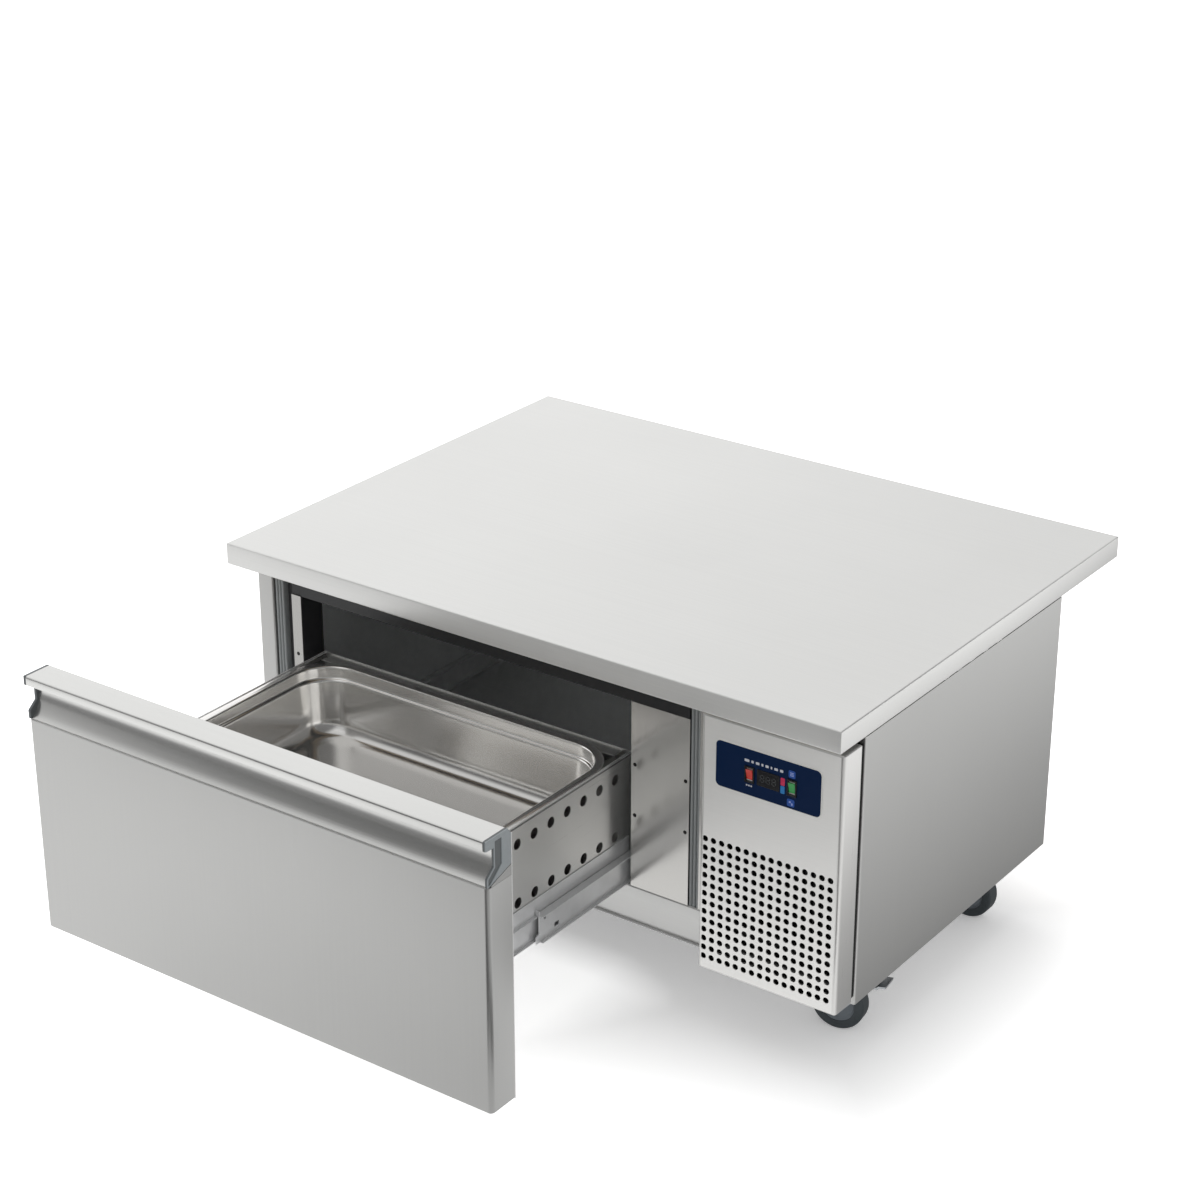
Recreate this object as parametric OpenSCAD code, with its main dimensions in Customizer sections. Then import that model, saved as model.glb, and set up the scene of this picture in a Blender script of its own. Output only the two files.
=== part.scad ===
// Freezer chef base: a low refrigerated cabinet on castors, with one wide
// drawer on telescopic slides, a plain worktop and a machine compartment
// behind a perforated panel. The drawer is shown open.
// Positions are measured from the worktop's top front left corner: x to the
// right, y to the back, z up. placed() moves all to the part's own frame.

/* [Worktop] */
// Width of the worktop and of the cabinet
top_w = 1000; // [980:5:1060]
// Depth of the worktop
top_d = 750; // [740:5:800]
// Height of the worktop's folded rim
top_t = 32; // [30:1:40]
// Width of the flange folded in under the rim
top_flange = 15; // [10:1:25]

/* [Cabinet] */
// Height from the floor to the worktop
total_h = 515; // [510:1:530]
// Height of the cabinet body
body_h = 383; // [381:1:386]
// Set-back of the body's front from the worktop's front edge
body_front = 60; // [60:1:62]
// Distance of the body's back from the worktop's front edge
body_back = 580; // [578:1:600]
// Thickness of the outer sheets
sheet_t = 1.2; // [1:0.1:1.5]
// Width of the left panel's front flange
left_flange = 28; // [24:1:28]

/* [Cold space] */
// Left wall of the cold space
cold_left = 80; // [80:1:82]
// Clear width between the left wall and the evaporator cover
cold_w = 570; // [568:1:570]
// Back wall of the cold space
cold_back = 518; // [516:1:520]
// Depth of the frame round the drawer's opening
frame_d = 45; // [40:1:50]
// Height of the cold space
cold_h = 274; // [272:1:275]
// Drop from the body's top to the cold space
cold_drop = 51; // [50:1:52]
// Right side of the space behind the evaporator cover
evap_right = 725; // [715:1:728]
// Thickness of the inner lining
liner_t = 0.8; // [0.6:0.1:1]

/* [Drawer front] */
// Left edge of the drawer front
front_left = 30; // [29:1:32]
// Width of the drawer front
front_w = 751; // [740:1:754]
// Thickness of the drawer front
front_t = 46; // [44:1:46]
// Front face, measured from the worktop's front edge, when closed
front_face = 12; // [12:1:13]
// How far the drawer is pulled out
drawer_open = 423; // [300:1:425]
// Top edge of the handle below the worktop's surface
handle_drop = 36; // [34:1:38]
// Height of the handle profile
handle_h = 62; // [60:1:64]
// How far the handle's lip stands proud of the face
lip_proud = 3; // [2:1:4]
// Height of the handle's lip
lip_h = 13; // [12:1:14]
// Depth of the finger recess behind the face
recess_d = 18; // [14:1:20]
// Bottom edge of the drawer front below the worktop's surface
front_drop = 407; // [400:1:410]

/* [Drawer box] */
// Width of the drawer box
box_w = 534; // [534:1:535]
// Length of the drawer box
box_len = 451; // [445:1:452]
// Rim of the drawer box below the worktop's surface
rim_drop = 172; // [168:1:176]
// Height of the drawer box
box_h = 165; // [163:1:166]
// Thickness of the box's sheet
box_t = 1; // [0.8:0.1:1]
// Diameter of the holes in the sides
side_hole_d = 15; // [10:1:18]
// Distance between the holes
side_hole_pitch = 35.3; // [30:0.1:36]
// Holes in one row
side_hole_count = 12; // [6:1:12]

/* [Pan] */
// Length of the gastronorm pan, across the drawer
pan_w = 530; // [530:1:530]
// Width of the pan, along the drawer
pan_d = 325; // [325:1:325]
// Depth of the pan
pan_h = 100; // [65:5:150]
// Width of the pan's flange
pan_flange = 12; // [11:1:12]

/* [Slides] */
// Height of the middle member
slide_h = 39; // [36:1:39]
// Length of the middle member
slide_len = 420; // [400:1:422]
// Thickness of the slides' sheet
slide_t = 1.5; // [1.2:0.1:1.5]

/* [Technical panel] */
// Width of the panel
panel_w = 209; // [205:1:209]
// Depth of the folded panel
panel_t = 46; // [44:1:46]
// Height of the panel
panel_h = 368; // [360:1:370]
// Columns of the grille
grille_cols = 16; // [4:1:16]
// Rows of the grille
grille_rows = 14; // [4:1:14]
// Distance between the grille's columns
grille_pitch_x = 12.4; // [10:0.1:12.4]
// Distance between the grille's rows
grille_pitch_z = 13.3; // [10:0.1:13.3]
// Diameter of the grille's holes
grille_hole_d = 8.5; // [5:0.5:9]
// Width of the control plate
plate_w = 154; // [150:1:158]
// Height of the control plate
plate_h = 64; // [60:1:70]

/* [Castors] */
// Diameter of the wheels
wheel_d = 75; // [70:1:78]
// Width of the wheels
wheel_w = 26; // [22:1:27]
// Distance from the swivel's axis to the wheel's axle
castor_trail = 28; // [24:1:28]
// Distance of the swivels from the cabinet's sides
castor_inset = 43; // [43:1:60]
// Distance of the front swivels from the worktop's front edge
front_castor_y = 150; // [140:1:200]
// Distance of the rear swivels from the worktop's front edge
rear_castor_y = 503; // [460:1:505]
// Turn of the front right castor
front_turn = 8; // [0:1:20]

/* [Hidden] */
$fn = 48;

// Heights of the body
body_top = -top_t;
body_low = -top_t - body_h;
floor_z = -total_h;
// The cold space and its frame
cold_right = cold_left + cold_w;
cold_top = body_top - cold_drop;
cold_low = cold_top - cold_h;
frame_y1 = body_front + frame_d;
skin_y = body_front + sheet_t;
slit = 0.3;
// The technical panel and the compartment behind it
panel_x0 = top_w - panel_w;
panel_y1 = body_front - 3;
panel_y0 = panel_y1 - panel_t;
panel_top = body_top - 7;
wall_right = evap_right + 50;
// The drawer front
front_right = front_left + front_w;
face_y = front_face - drawer_open;
skin_back = face_y + front_t;
lip_y = face_y - lip_proud;
front_low = -front_drop;
handle_top = -handle_drop;
handle_low = handle_top - handle_h;
// The drawer box sits in the middle of the cold space
box_x0 = cold_left + (cold_w - box_w) / 2;
box_x1 = box_x0 + box_w;
box_y1 = skin_back + box_len;
rim_z = -rim_drop;
box_low = rim_z - box_h;
ledge_w = 12;
ledge_z = rim_z - 2;
// The pan rests on the ledges
pan_x0 = box_x0 + (box_w - pan_w) / 2;
pan_x1 = pan_x0 + pan_w;
pan_y1 = box_y1 - 11;
pan_y0 = pan_y1 - pan_d;
// The slides
slide_z0 = cold_low + 1;
slide_z1 = slide_z0 + slide_h;
slide_y0 = body_front + 21.5 - drawer_open / 2;
slide_x = box_x1 + 7;
nest_gap = 0.5;

rest_mid = (top_d + lip_y) / 2;

module placed() translate([-top_w / 2, -rest_mid, total_h]) children();

module slab(x0, x1, y0, y1, z0, z1) {
    translate([x0, y0, z0]) cube([x1 - x0, y1 - y0, z1 - z0]);
}

// An outline of y and z, drawn out from x0 to x1
module along_x(x0, x1) {
    translate([x0, 0, 0]) rotate([90, 0, 90]) linear_extrude(x1 - x0) children();
}

// An outline of x and z, drawn out from y0 to y1
module along_y(y0, y1) {
    translate([0, y1, 0]) rotate([90, 0, 0]) linear_extrude(y1 - y0) children();
}

module rounded_rect(w, h, r) {
    square([w - 2 * r, h], center = true);
    square([w, h - 2 * r], center = true);
    for (sx = [-1, 1], sy = [-1, 1])
        translate([sx * (w / 2 - r), sy * (h / 2 - r)]) circle(r);
}

// Mirrors its children about the middle of the cold space
module mirrored_in_cold() {
    mid = cold_left + cold_w / 2;
    children();
    translate([2 * mid, 0, 0]) mirror([1, 0, 0]) children();
}

// A corner outline moved inwards by t, with each corner kept sharp
function unit_normal(a, b) = [a[1] - b[1], b[0] - a[0]] / norm(b - a);
function inset(p, t) = [for (i = [0:len(p) - 1])
    let (n = len(p), a = p[(i + n - 1) % n], b = p[i], c = p[(i + 1) % n],
        u = unit_normal(a, b), v = unit_normal(b, c))
    b + t * (u + v) / (1 + u * v)];

// A round rod between two points
module rod(a, b, r) {
    d = b - a;
    translate(a) rotate([0, acos(d[2] / norm(d)), atan2(d[1], d[0])]) cylinder(h = norm(d), r = r);
}

module tube_run(points, r) {
    for (i = [0:len(points) - 2]) rod(points[i], points[i + 1], r);
    for (i = [1:len(points) - 2]) translate(points[i]) sphere(r);
}

// Worktop

module worktop() color("gainsboro") placed() difference() {
    slab(0, top_w, 0, top_d, body_top, 0);
    slab(sheet_t, top_w - sheet_t, sheet_t, top_d - sheet_t, body_top + sheet_t, -sheet_t);
    slab(top_flange, top_w - top_flange, top_flange, top_d - top_flange,
        body_top - 1, body_top + 2 * sheet_t);
}

module worktop_core() color("burlywood") placed()
    slab(sheet_t + slit, top_w - sheet_t - slit, sheet_t + slit, top_d - sheet_t - slit,
        body_top + sheet_t, -sheet_t);

// Cabinet shell

module side_panel_left() color("lightgray") placed() {
    slab(0, sheet_t, body_front, body_back, body_low, body_top);
    slab(0, left_flange, body_front, skin_y, body_low, body_top);
    slab(left_flange - sheet_t, left_flange, body_front, body_front + 15,
        body_low + sheet_t + slit, body_top);
}

right_flange = 14;

module side_panel_right() color("darkgray") placed() {
    slab(top_w - sheet_t, top_w, body_front, body_back, body_low, body_top);
    slab(top_w - right_flange, top_w, body_front, skin_y, body_low, body_top);
    slab(top_w - right_flange, top_w - right_flange + sheet_t, body_front, body_front + 12,
        body_low + sheet_t + slit, body_top);
}

back_slots = 8;
back_slot_h = 8;
gland_x = top_w - 60;
gland_z = body_low + 60;

module back_panel() color("silver") placed() difference() {
    slab(sheet_t, top_w - sheet_t, body_back - sheet_t, body_back, body_low, body_top);
    for (i = [0:back_slots - 1])
        translate([(wall_right + top_w) / 2, body_back - 2 * sheet_t,
            body_top - 90 - i * 2.5 * back_slot_h])
        rotate([-90, 0, 0]) linear_extrude(3 * sheet_t)
        rounded_rect(130, back_slot_h, back_slot_h / 2 - 0.5);
    translate([gland_x, body_back, gland_z]) rotate([90, 0, 0])
        cylinder(h = 3 * sheet_t, r = 8.1, center = true);
}

module base_panel() color("silver") placed()
    slab(sheet_t, top_w - sheet_t, skin_y, body_back - sheet_t, body_low, body_low + sheet_t);

// Foam boards round the cold space, and between it and the machine compartment
module insulation() color("khaki") placed() {
    foam_y0 = frame_y1 + slit;
    foam_y1 = body_back - sheet_t;
    foam_low = body_low + sheet_t;
    liner_left = cold_left - liner_t;
    liner_right = evap_right + liner_t;
    liner_back = cold_back + liner_t;
    slab(sheet_t, liner_left, foam_y0, foam_y1, foam_low, body_top);
    slab(liner_left + slit, liner_right - slit, liner_back, foam_y1, foam_low, body_top);
    slab(liner_left + slit, liner_right - slit, foam_y0, liner_back - slit,
        foam_low, cold_low - liner_t);
    slab(liner_left + slit, liner_right - slit, foam_y0, liner_back - slit,
        cold_top + liner_t, body_top);
    slab(liner_right, wall_right, foam_y0, foam_y1, foam_low, body_top);
}

module inner_liner() color("slategray") placed() difference() {
    slab(cold_left - liner_t, evap_right + liner_t, frame_y1, cold_back + liner_t,
        cold_low - liner_t, cold_top + liner_t);
    slab(cold_left, evap_right, frame_y1 - 1, cold_back, cold_low, cold_top);
}

// Four plastic bars that part the cold lining from the warm front
breaker_x0 = 47.5;
breaker_x1 = 741.5;
groove_x = 63;
groove_d = 9;
rail_t = 7.5;

// Room for the sill's slope, taken out of what stands behind it
module clear_of_sill() difference() {
    children();
    slab(0, top_w, body_front, skin_y + sill_slope + slit, body_low, cold_low);
}

module breaker_frame() color("dimgray") placed() clear_of_sill() {
    bar_y0 = skin_y + slit;
    translate([0, 0, body_low + 2 * sheet_t]) linear_extrude(body_h - 3 * sheet_t)
        polygon([[breaker_x0, bar_y0 + groove_d], [groove_x, bar_y0 + groove_d],
            [groove_x, bar_y0], [cold_left, bar_y0], [cold_left, frame_y1],
            [breaker_x0, frame_y1]]);
    slab(evap_right, breaker_x1, bar_y0, frame_y1, body_low + 2 * sheet_t, cold_top - slit);
    slab(cold_left + slit, evap_right - slit, body_front + rail_t + slit, frame_y1,
        body_low + 2 * sheet_t, cold_low);
    slab(cold_left + slit, breaker_x1, body_front + rail_t + slit, frame_y1,
        cold_top, body_top - sheet_t);
}

// The dark rail over the opening
module top_rail() color("black") placed()
    slab(cold_left + slit, breaker_x1, body_front, body_front + rail_t, cold_top, body_top - slit);

// The sill is bent back below the line where it starts to slope
sill_bend = 18;
sill_slope = 5;

module sill() color("lightgray") placed() along_x(left_flange + slit, top_w - right_flange - slit) {
    low = body_low + sheet_t;
    polygon([[body_front, cold_low], [body_front, cold_low - sill_bend],
        [body_front + sill_slope, low], [skin_y + sill_slope, low],
        [skin_y, cold_low - sill_bend], [skin_y, cold_low]]);
}

strip_left = 31;
strip_w = 16;
strip_right = 742;

module post_strips() color("lightslategray") placed() clear_of_sill() {
    for (x = [strip_left, strip_right])
        slab(x, x + strip_w - 0.5, skin_y + slit, frame_y1, body_low + 2 * sheet_t,
            body_top - sheet_t);
}

// The narrow plate beside the opening, the wide plate over the evaporator,
// and the plate between the opening and the machine compartment
screw_hole_r = 2;
plate_screw_x = [71, cold_right + 6, 736];
plate_screw_drop = [174, 249];

module front_plates() color("silver") placed() difference() {
    union() {
        slab(groove_x, cold_left, body_front, skin_y, cold_low + slit, cold_top - slit);
        slab(cold_right, strip_right - slit, body_front, skin_y, cold_low + slit, cold_top - slit);
        slab(strip_right + strip_w, panel_x0 + 8, body_front, skin_y,
            cold_low + slit, body_top - slit);
    }
    for (x = plate_screw_x, drop = plate_screw_drop)
        translate([x, body_front - 1, -drop]) rotate([-90, 0, 0]) cylinder(h = 4, r = screw_hole_r);
}

// Cold side

evap_fan_y = 330;
evap_fan_z = -190;
evap_fan_r = 62;
guard_ring_step = 16;

module evaporator_cover() color("silver") placed() difference() {
    slab(cold_right, cold_right + sheet_t, skin_y + slit, cold_back, cold_low, cold_top);
    // Rings of holes in front of the fan
    for (ring = [0:3], k = [0:max(0, 6 * ring - 1)])
        translate([cold_right - 1, evap_fan_y + ring * guard_ring_step * cos(60 * k / max(1, ring)),
            evap_fan_z + ring * guard_ring_step * sin(60 * k / max(1, ring))])
        rotate([0, 90, 0]) cylinder(h = 4, r = 6);
    // Return slots near the front
    for (i = [0:6])
        slab(cold_right - 1, cold_right + 3, 130, 190, -110 - 22 * i, -102 - 22 * i);
}

fin_count = 30;

module evaporator() color("lightsteelblue") placed() {
    fin_pitch = 10;
    x0 = cold_right + 42;
    // The end fins reach the lining and carry the block
    for (i = [0:fin_count - 1])
        slab(x0, evap_right - (i % (fin_count - 1) == 0 ? 0 : 3),
            150 + i * fin_pitch, 150.8 + i * fin_pitch, -345, -100);
    for (x = [x0 + 8, x0 + 20], z = [-330:46:-110])
        translate([x, 140, z]) rotate([-90, 0, 0]) cylinder(h = 315, r = 4);
    // The fan's motor and shaft
    translate([x0, evap_fan_y, evap_fan_z]) rotate([0, -90, 0]) {
        cylinder(h = 9, r = 24);
        cylinder(h = 28, r = 3);
    }
}

blade_count = 5;

// A fan with its axle along z, centred on the origin
module fan(r, depth) {
    difference() {
        cylinder(h = depth, r = 0.3 * r, center = true);
        translate([0, 0, -depth]) cylinder(h = 2 * depth, r = 3.05);
    }
    for (k = [0:blade_count - 1])
        rotate(k * 360 / blade_count) translate([0.27 * r, -0.24 * r, -0.06 * r])
        rotate([28, 0, 0]) cube([0.7 * r, 0.5 * r, 2]);
}

module evaporator_fan() color("dimgray") placed()
    translate([cold_right + 20, evap_fan_y, evap_fan_z]) rotate([0, 90, 0]) fan(evap_fan_r, 16);

// Slides: a middle member of I section between two nested channels

member_y1 = cold_back - 12;

// A channel with its web at x and its flanges towards dir
module nested_channel(x, dir, y0, y1, web_top) {
    low = slide_z0 + slide_t + nest_gap;
    high = slide_z1 - slide_t - nest_gap;
    reach = 6;
    x0 = dir > 0 ? x : x - slide_t;
    f0 = dir > 0 ? x : x - reach;
    slab(x0, x0 + slide_t, y0, y1, low, web_top);
    slab(f0, f0 + reach, y0, y1, low, low + slide_t);
    slab(f0, f0 + reach, y0, y1, high - slide_t, high);
}

module cabinet_slides() color("silver") placed() mirrored_in_cold()
    nested_channel(cold_right, -1, body_front + 6, member_y1, slide_z1 + 4);

module drawer_slides() color("gainsboro") placed() mirrored_in_cold()
    nested_channel(box_x1, 1, skin_back + 10, box_y1 - 6, slide_z1 + 22);

module middle_slides() color("whitesmoke") placed() mirrored_in_cold() {
    y1 = slide_y0 + slide_len;
    web_x = slide_x;
    hook = 7;
    difference() {
        along_x(web_x, web_x + 2) polygon([[slide_y0, slide_z1], [slide_y0, slide_z0 + 13],
            [slide_y0 - hook, slide_z0 + 10], [slide_y0 - hook, slide_z0],
            [slide_y0 + 5, slide_z0], [y1, slide_z0], [y1, slide_z1]]);
        translate([web_x - 1, slide_y0 + 12, slide_z1 - 7]) rotate([0, 90, 0]) cylinder(h = 4, r = 2.5);
        slab(web_x - 1, web_x + 3, slide_y0 + 32, slide_y0 + 42, slide_z0 + 8, slide_z0 + 14);
    }
    for (z = [slide_z0, slide_z1 - slide_t])
        slab(web_x - 4.5, web_x + 7, slide_y0, y1, z, z + slide_t);
    slab(web_x - 4.5, web_x + 2, slide_y0, slide_y0 + slide_t, slide_z1, slide_z1 + 6);
}

// Technical panel

grille_x0 = panel_x0 + 9;
grille_z0 = -215;
plate_x = panel_x0 + 24 + plate_w / 2;
plate_z = -100;
switch_x = [865, 927];
display_x = 892.5;
control_z = -103;
switch_w = 10;
switch_h = 18.6;
display_w = 33;
display_h = 22;

frame_w = 2;

module control_windows(gap) {
    for (x = switch_x) translate([x, control_z])
        square([switch_w + 2 * frame_w + gap, switch_h + 2 * frame_w + gap], center = true);
    translate([display_x, control_z]) square([display_w + gap, display_h + gap], center = true);
}

module tech_panel() color("lightgray") placed() {
    along_y(panel_y0, panel_y0 + sheet_t) difference() {
        translate([panel_x0, panel_top - panel_h]) square([panel_w, panel_h]);
        for (i = [0:grille_cols - 1], j = [0:grille_rows - 1])
            translate([grille_x0 + i * grille_pitch_x, grille_z0 - j * grille_pitch_z])
            circle(d = grille_hole_d);
        translate([plate_x, plate_z]) square([plate_w - 16, plate_h - 16], center = true);
    }
    along_y(panel_y0 + sheet_t, panel_y1) difference() {
        translate([panel_x0, panel_top - panel_h]) square([panel_w, panel_h]);
        translate([panel_x0 + sheet_t, panel_top - panel_h + sheet_t])
            square([panel_w - 2 * sheet_t, panel_h - 2 * sheet_t]);
    }
    // Tabs that hook on the body
    for (x = [panel_x0, top_w - sheet_t], z = [panel_top - 60, panel_top - panel_h + 30])
        slab(x, x + sheet_t, panel_y1, body_front, z, z + 24);
}

plate_t = 1.5;

module control_plate() color([0, 0.12, 0.25]) placed()
    along_y(panel_y0 - plate_t, panel_y0) difference() {
        translate([plate_x, plate_z]) rounded_rect(plate_w, plate_h, 6);
        control_windows(0.4);
    }

module display() color("black") placed() {
    along_y(panel_y0 - plate_t - 0.8, panel_y0 + 24)
        translate([display_x, control_z]) square([display_w, display_h], center = true);
}

rocker_y = panel_y0 - plate_t + 4;
pin_r = 1.2;

module switch_frames() color([0.06, 0.06, 0.07]) placed() difference() {
    along_y(panel_y0 - plate_t - 1.2, panel_y0 + 20) for (x = switch_x) translate([x, control_z])
        difference() {
            square([switch_w + 2 * frame_w, switch_h + 2 * frame_w], center = true);
            square([switch_w, switch_h], center = true);
        }
    for (x = switch_x) translate([x, rocker_y, control_z]) rotate([0, 90, 0])
        cylinder(h = switch_w + 2.6, r = pin_r + 0.05, center = true);
}

// A rocker that turns on a pin held in the frame's walls
module rocker(x) translate([x, rocker_y, control_z]) {
    end = 7.2;
    along_x(-switch_w / 2 + slit, switch_w / 2 - slit)
        polygon([[-6.4, end], [-4.4, 0], [-3.4, -end], [2.5, -5], [2.5, 5]]);
    rotate([0, 90, 0]) cylinder(h = switch_w + 2.4, r = pin_r, center = true);
}

module red_switch() color("red") placed() rocker(switch_x[0]);
module green_switch() color("limegreen") placed() rocker(switch_x[1]);

module control_box() color("darkslategray") placed()
    slab(panel_x0 + sheet_t, top_w - right_flange - 1, panel_y0 + 24, panel_y1 - 0.2, -150, -60);

// Cooling unit

unit_x0 = wall_right + 12;
unit_x1 = top_w - 16;
unit_low = body_low + sheet_t;
unit_top = unit_low + 12;
condenser_y = body_front + 14;
condenser_d = 40;
condenser_h = 190;
cond_fan_x = (unit_x0 + unit_x1) / 2;
cond_fan_z = -300;
cond_fan_r = 72;
shroud_y = condenser_y + condenser_d + 4;
motor_y = shroud_y + 40;
comp_x = 890;
comp_y = 460;
comp_r = 60;
comp_h = 140;

// A tray with its rim turned down
module unit_base() color("dimgray") placed() difference() {
    slab(unit_x0, unit_x1, condenser_y, body_back - 20, unit_low, unit_top);
    slab(unit_x0 + 2, unit_x1 - 2, condenser_y + 2, body_back - 22, unit_low - 1, unit_top - 2);
}

module compressor() color([0.1, 0.1, 0.11]) placed() translate([comp_x, comp_y, unit_top]) {
    for (sx = [-1, 1], sy = [-1, 1]) translate([sx * 62, sy * 48, 0]) cylinder(h = 10, r = 9);
    translate([0, 0, 10]) linear_extrude(3) rounded_rect(150, 118, 14);
    translate([0, 0, 13]) {
        cylinder(h = comp_h - comp_r * 0.5, r = comp_r);
        translate([0, 0, comp_h - comp_r * 0.5]) intersection() {
            translate([0, 0, -comp_r * 0.75]) sphere(comp_r * 1.25);
            cylinder(h = comp_r, r = comp_r);
        }
        translate([comp_r - 6, -22, 40]) cube([24, 44, 50]);
    }
}

module condenser() color("slategray") placed() {
    pitch = 6.2;
    low = unit_top;
    for (i = [0:28])
        translate([unit_x0 + 8 + i * pitch, condenser_y, low]) cube([1, condenser_d, condenser_h]);
    for (y = [condenser_y + 11, condenser_y + 29], k = [0:5])
        translate([unit_x0 + 4, y, low + 20 + 30 * k]) rotate([0, 90, 0]) cylinder(h = 186, r = 4);
}

module fan_shroud() color([0.12, 0.12, 0.13]) placed() {
    r = cond_fan_r + 3;
    along_y(shroud_y - 4, shroud_y) difference() {
        translate([unit_x0 + 4, unit_top]) square([unit_x1 - unit_x0 - 8, condenser_h]);
        translate([cond_fan_x, cond_fan_z]) circle(r);
    }
    along_y(shroud_y, shroud_y + 22) translate([cond_fan_x, cond_fan_z]) difference() {
        circle(r + 2);
        circle(r);
    }
    // Motor on two struts that go round the fan
    translate([cond_fan_x, motor_y, cond_fan_z]) rotate([-90, 0, 0]) {
        cylinder(h = 45, r = 32);
        translate([0, 0, -30]) cylinder(h = 30, r = 3);
    }
    for (s = [-1, 1]) {
        slab(cond_fan_x + s * (r + 8) - 5, cond_fan_x + s * (r + 8) + 5, shroud_y, motor_y + 10,
            cond_fan_z - 6, cond_fan_z + 6);
        slab(cond_fan_x + min(s * 30, s * (r + 8)), cond_fan_x + max(s * 30, s * (r + 8)),
            motor_y + 6, motor_y + 10, cond_fan_z - 6, cond_fan_z + 6);
    }
}

module condenser_fan() color("gray") placed()
    translate([cond_fan_x, shroud_y + 12, cond_fan_z]) rotate([-90, 0, 0]) fan(cond_fan_r, 18);

// Copper lines from the compressor to the condenser, and through the wall to the evaporator
module refrigerant_pipes() color("peru") placed() {
    y = comp_y - 40;
    x = unit_x0 + 5;
    low = unit_top + 50;
    high = unit_top + condenser_h + 6;
    tube_run([[comp_x - 20, y, low], [comp_x - 20, y - 120, low], [x, y - 120, low],
        [x, condenser_y + 60, low], [x, condenser_y + 60, high], [x, condenser_y + 20, high],
        [x + 12, condenser_y + 20, high], [x + 12, condenser_y + 20, unit_top + condenser_h]], 3);
    tube_run([[comp_x + 10, y, unit_top + 90], [comp_x + 10, y - 60, unit_top + 90],
        [comp_x + 10, y - 60, -150], [wall_right - 20, y - 60, -150],
        [evap_right - 1, y - 60, -150]], 4);
    // The filter drier
    translate([x, 200, low]) rotate([-90, 0, 0]) cylinder(h = 70, r = 9);
}

module drip_tray() color("darkgray") placed() difference() {
    slab(unit_x0 + 28, unit_x1 - 9, 225, 385, unit_top, unit_top + 35);
    slab(unit_x0 + 29.5, unit_x1 - 10.5, 226.5, 383.5, unit_top + 1.5, unit_top + 40);
}

// The cable's way out, with its nut
module power_gland() color([0.08, 0.08, 0.09]) placed()
    translate([gland_x, body_back, gland_z]) rotate([-90, 0, 0]) difference() {
        union() {
            translate([0, 0, -12]) cylinder(h = 16, r = 8);
            cylinder(h = 6, r = 12, $fn = 6);
            translate([0, 0, 6]) cylinder(h = 12, r = 9.5);
        }
        translate([0, 0, -14]) cylinder(h = 40, r = 4.5);
    }

module body_screws() color("gray") placed() {
    // Set screws, a little below the plates' faces
    for (x = plate_screw_x, drop = plate_screw_drop)
        translate([x, body_front + 0.4, -drop]) rotate([-90, 0, 0])
            cylinder(h = sheet_t - 0.4 + slit, r = screw_hole_r - 0.1);
    for (i = [0:3], sx = [-1, 1], sy = [-1, 1])
        translate([castor_x[i] + sx * bolt_x / 2, castor_y[i] + sy * bolt_y / 2, body_low - 3])
        mirror([0, 0, 1]) cylinder(h = 5, r = 6.5, $fn = 6);
}

// Castors, numbered front left, front right, rear left, rear right

castor_x = [castor_inset, top_w - castor_inset, castor_inset, top_w - castor_inset];
castor_y = [front_castor_y, front_castor_y, rear_castor_y, rear_castor_y];
castor_turn = [front_turn, 180 + front_turn, 0, 180];
plate_gap = 0.4;
bolt_x = 60;
bolt_y = 42;
wheel_r = wheel_d / 2;
axle_r = 4;
fork_top = body_low - 13 - floor_z - plate_gap;
leg_v = wheel_w / 2 + 2;
leg_t = 2.5;
pedal_u = -14;
pedal_z = fork_top - 6;

// Children see u along the trail, v along the axle and the floor at zero
module at_castor(i) translate([castor_x[i], castor_y[i], floor_z]) rotate(castor_turn[i]) children();

// An outline of u and z, drawn out from v0 to v1
module along_v(v0, v1) translate([0, v1, 0]) rotate([90, 0, 0]) linear_extrude(v1 - v0) children();

module castor_plates() color("silver") placed() for (i = [0:3]) {
    translate([castor_x[i], castor_y[i], body_low - 3]) linear_extrude(3) rounded_rect(78, 60, 8);
    translate([castor_x[i], castor_y[i], body_low - 13]) cylinder(h = 10, r = 23);
}

module castor_fork(i) color("silver") placed() at_castor(i) {
    difference() {
        union() {
            translate([0, 0, fork_top - 3]) cylinder(h = 3, r = 25);
            for (v = [-leg_v - leg_t, leg_v]) along_v(v, v + leg_t)
                polygon([[-19, fork_top - 3], [18, fork_top - 3], [38, wheel_r + 9], [38, wheel_r - 6],
                    [32, wheel_r - 11], [24, wheel_r - 11], [8, wheel_r + 8], [-19, fork_top - 12]]);
        }
        translate([castor_trail, -40, wheel_r]) rotate([-90, 0, 0]) cylinder(h = 80, r = axle_r + 0.05);
        translate([pedal_u, -40, pedal_z]) rotate([-90, 0, 0]) cylinder(h = 80, r = 2.05);
    }
    // The axle bolt
    translate([castor_trail, -leg_v - leg_t - 1, wheel_r]) rotate([-90, 0, 0])
        cylinder(h = 2 * (leg_v + leg_t + 1), r = axle_r);
    for (v = [-leg_v - leg_t - 5, leg_v + leg_t]) translate([castor_trail, v, wheel_r])
        rotate([-90, 0, 0]) cylinder(h = 5, r = 7, $fn = 6);
}

module wheel_hub(i) color("lightslategray") placed() at_castor(i)
    translate([castor_trail, 0, wheel_r]) rotate([90, 0, 0]) rotate_extrude()
    polygon([[axle_r + 0.06, -wheel_w / 2], [10, -wheel_w / 2], [11, -wheel_w / 2 + 4],
        [22, -wheel_w / 2 + 5], [25, -wheel_w / 2 + 2], [25, wheel_w / 2 - 2],
        [22, wheel_w / 2 - 5], [11, wheel_w / 2 - 4], [10, wheel_w / 2], [axle_r + 0.06, wheel_w / 2]]);

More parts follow.
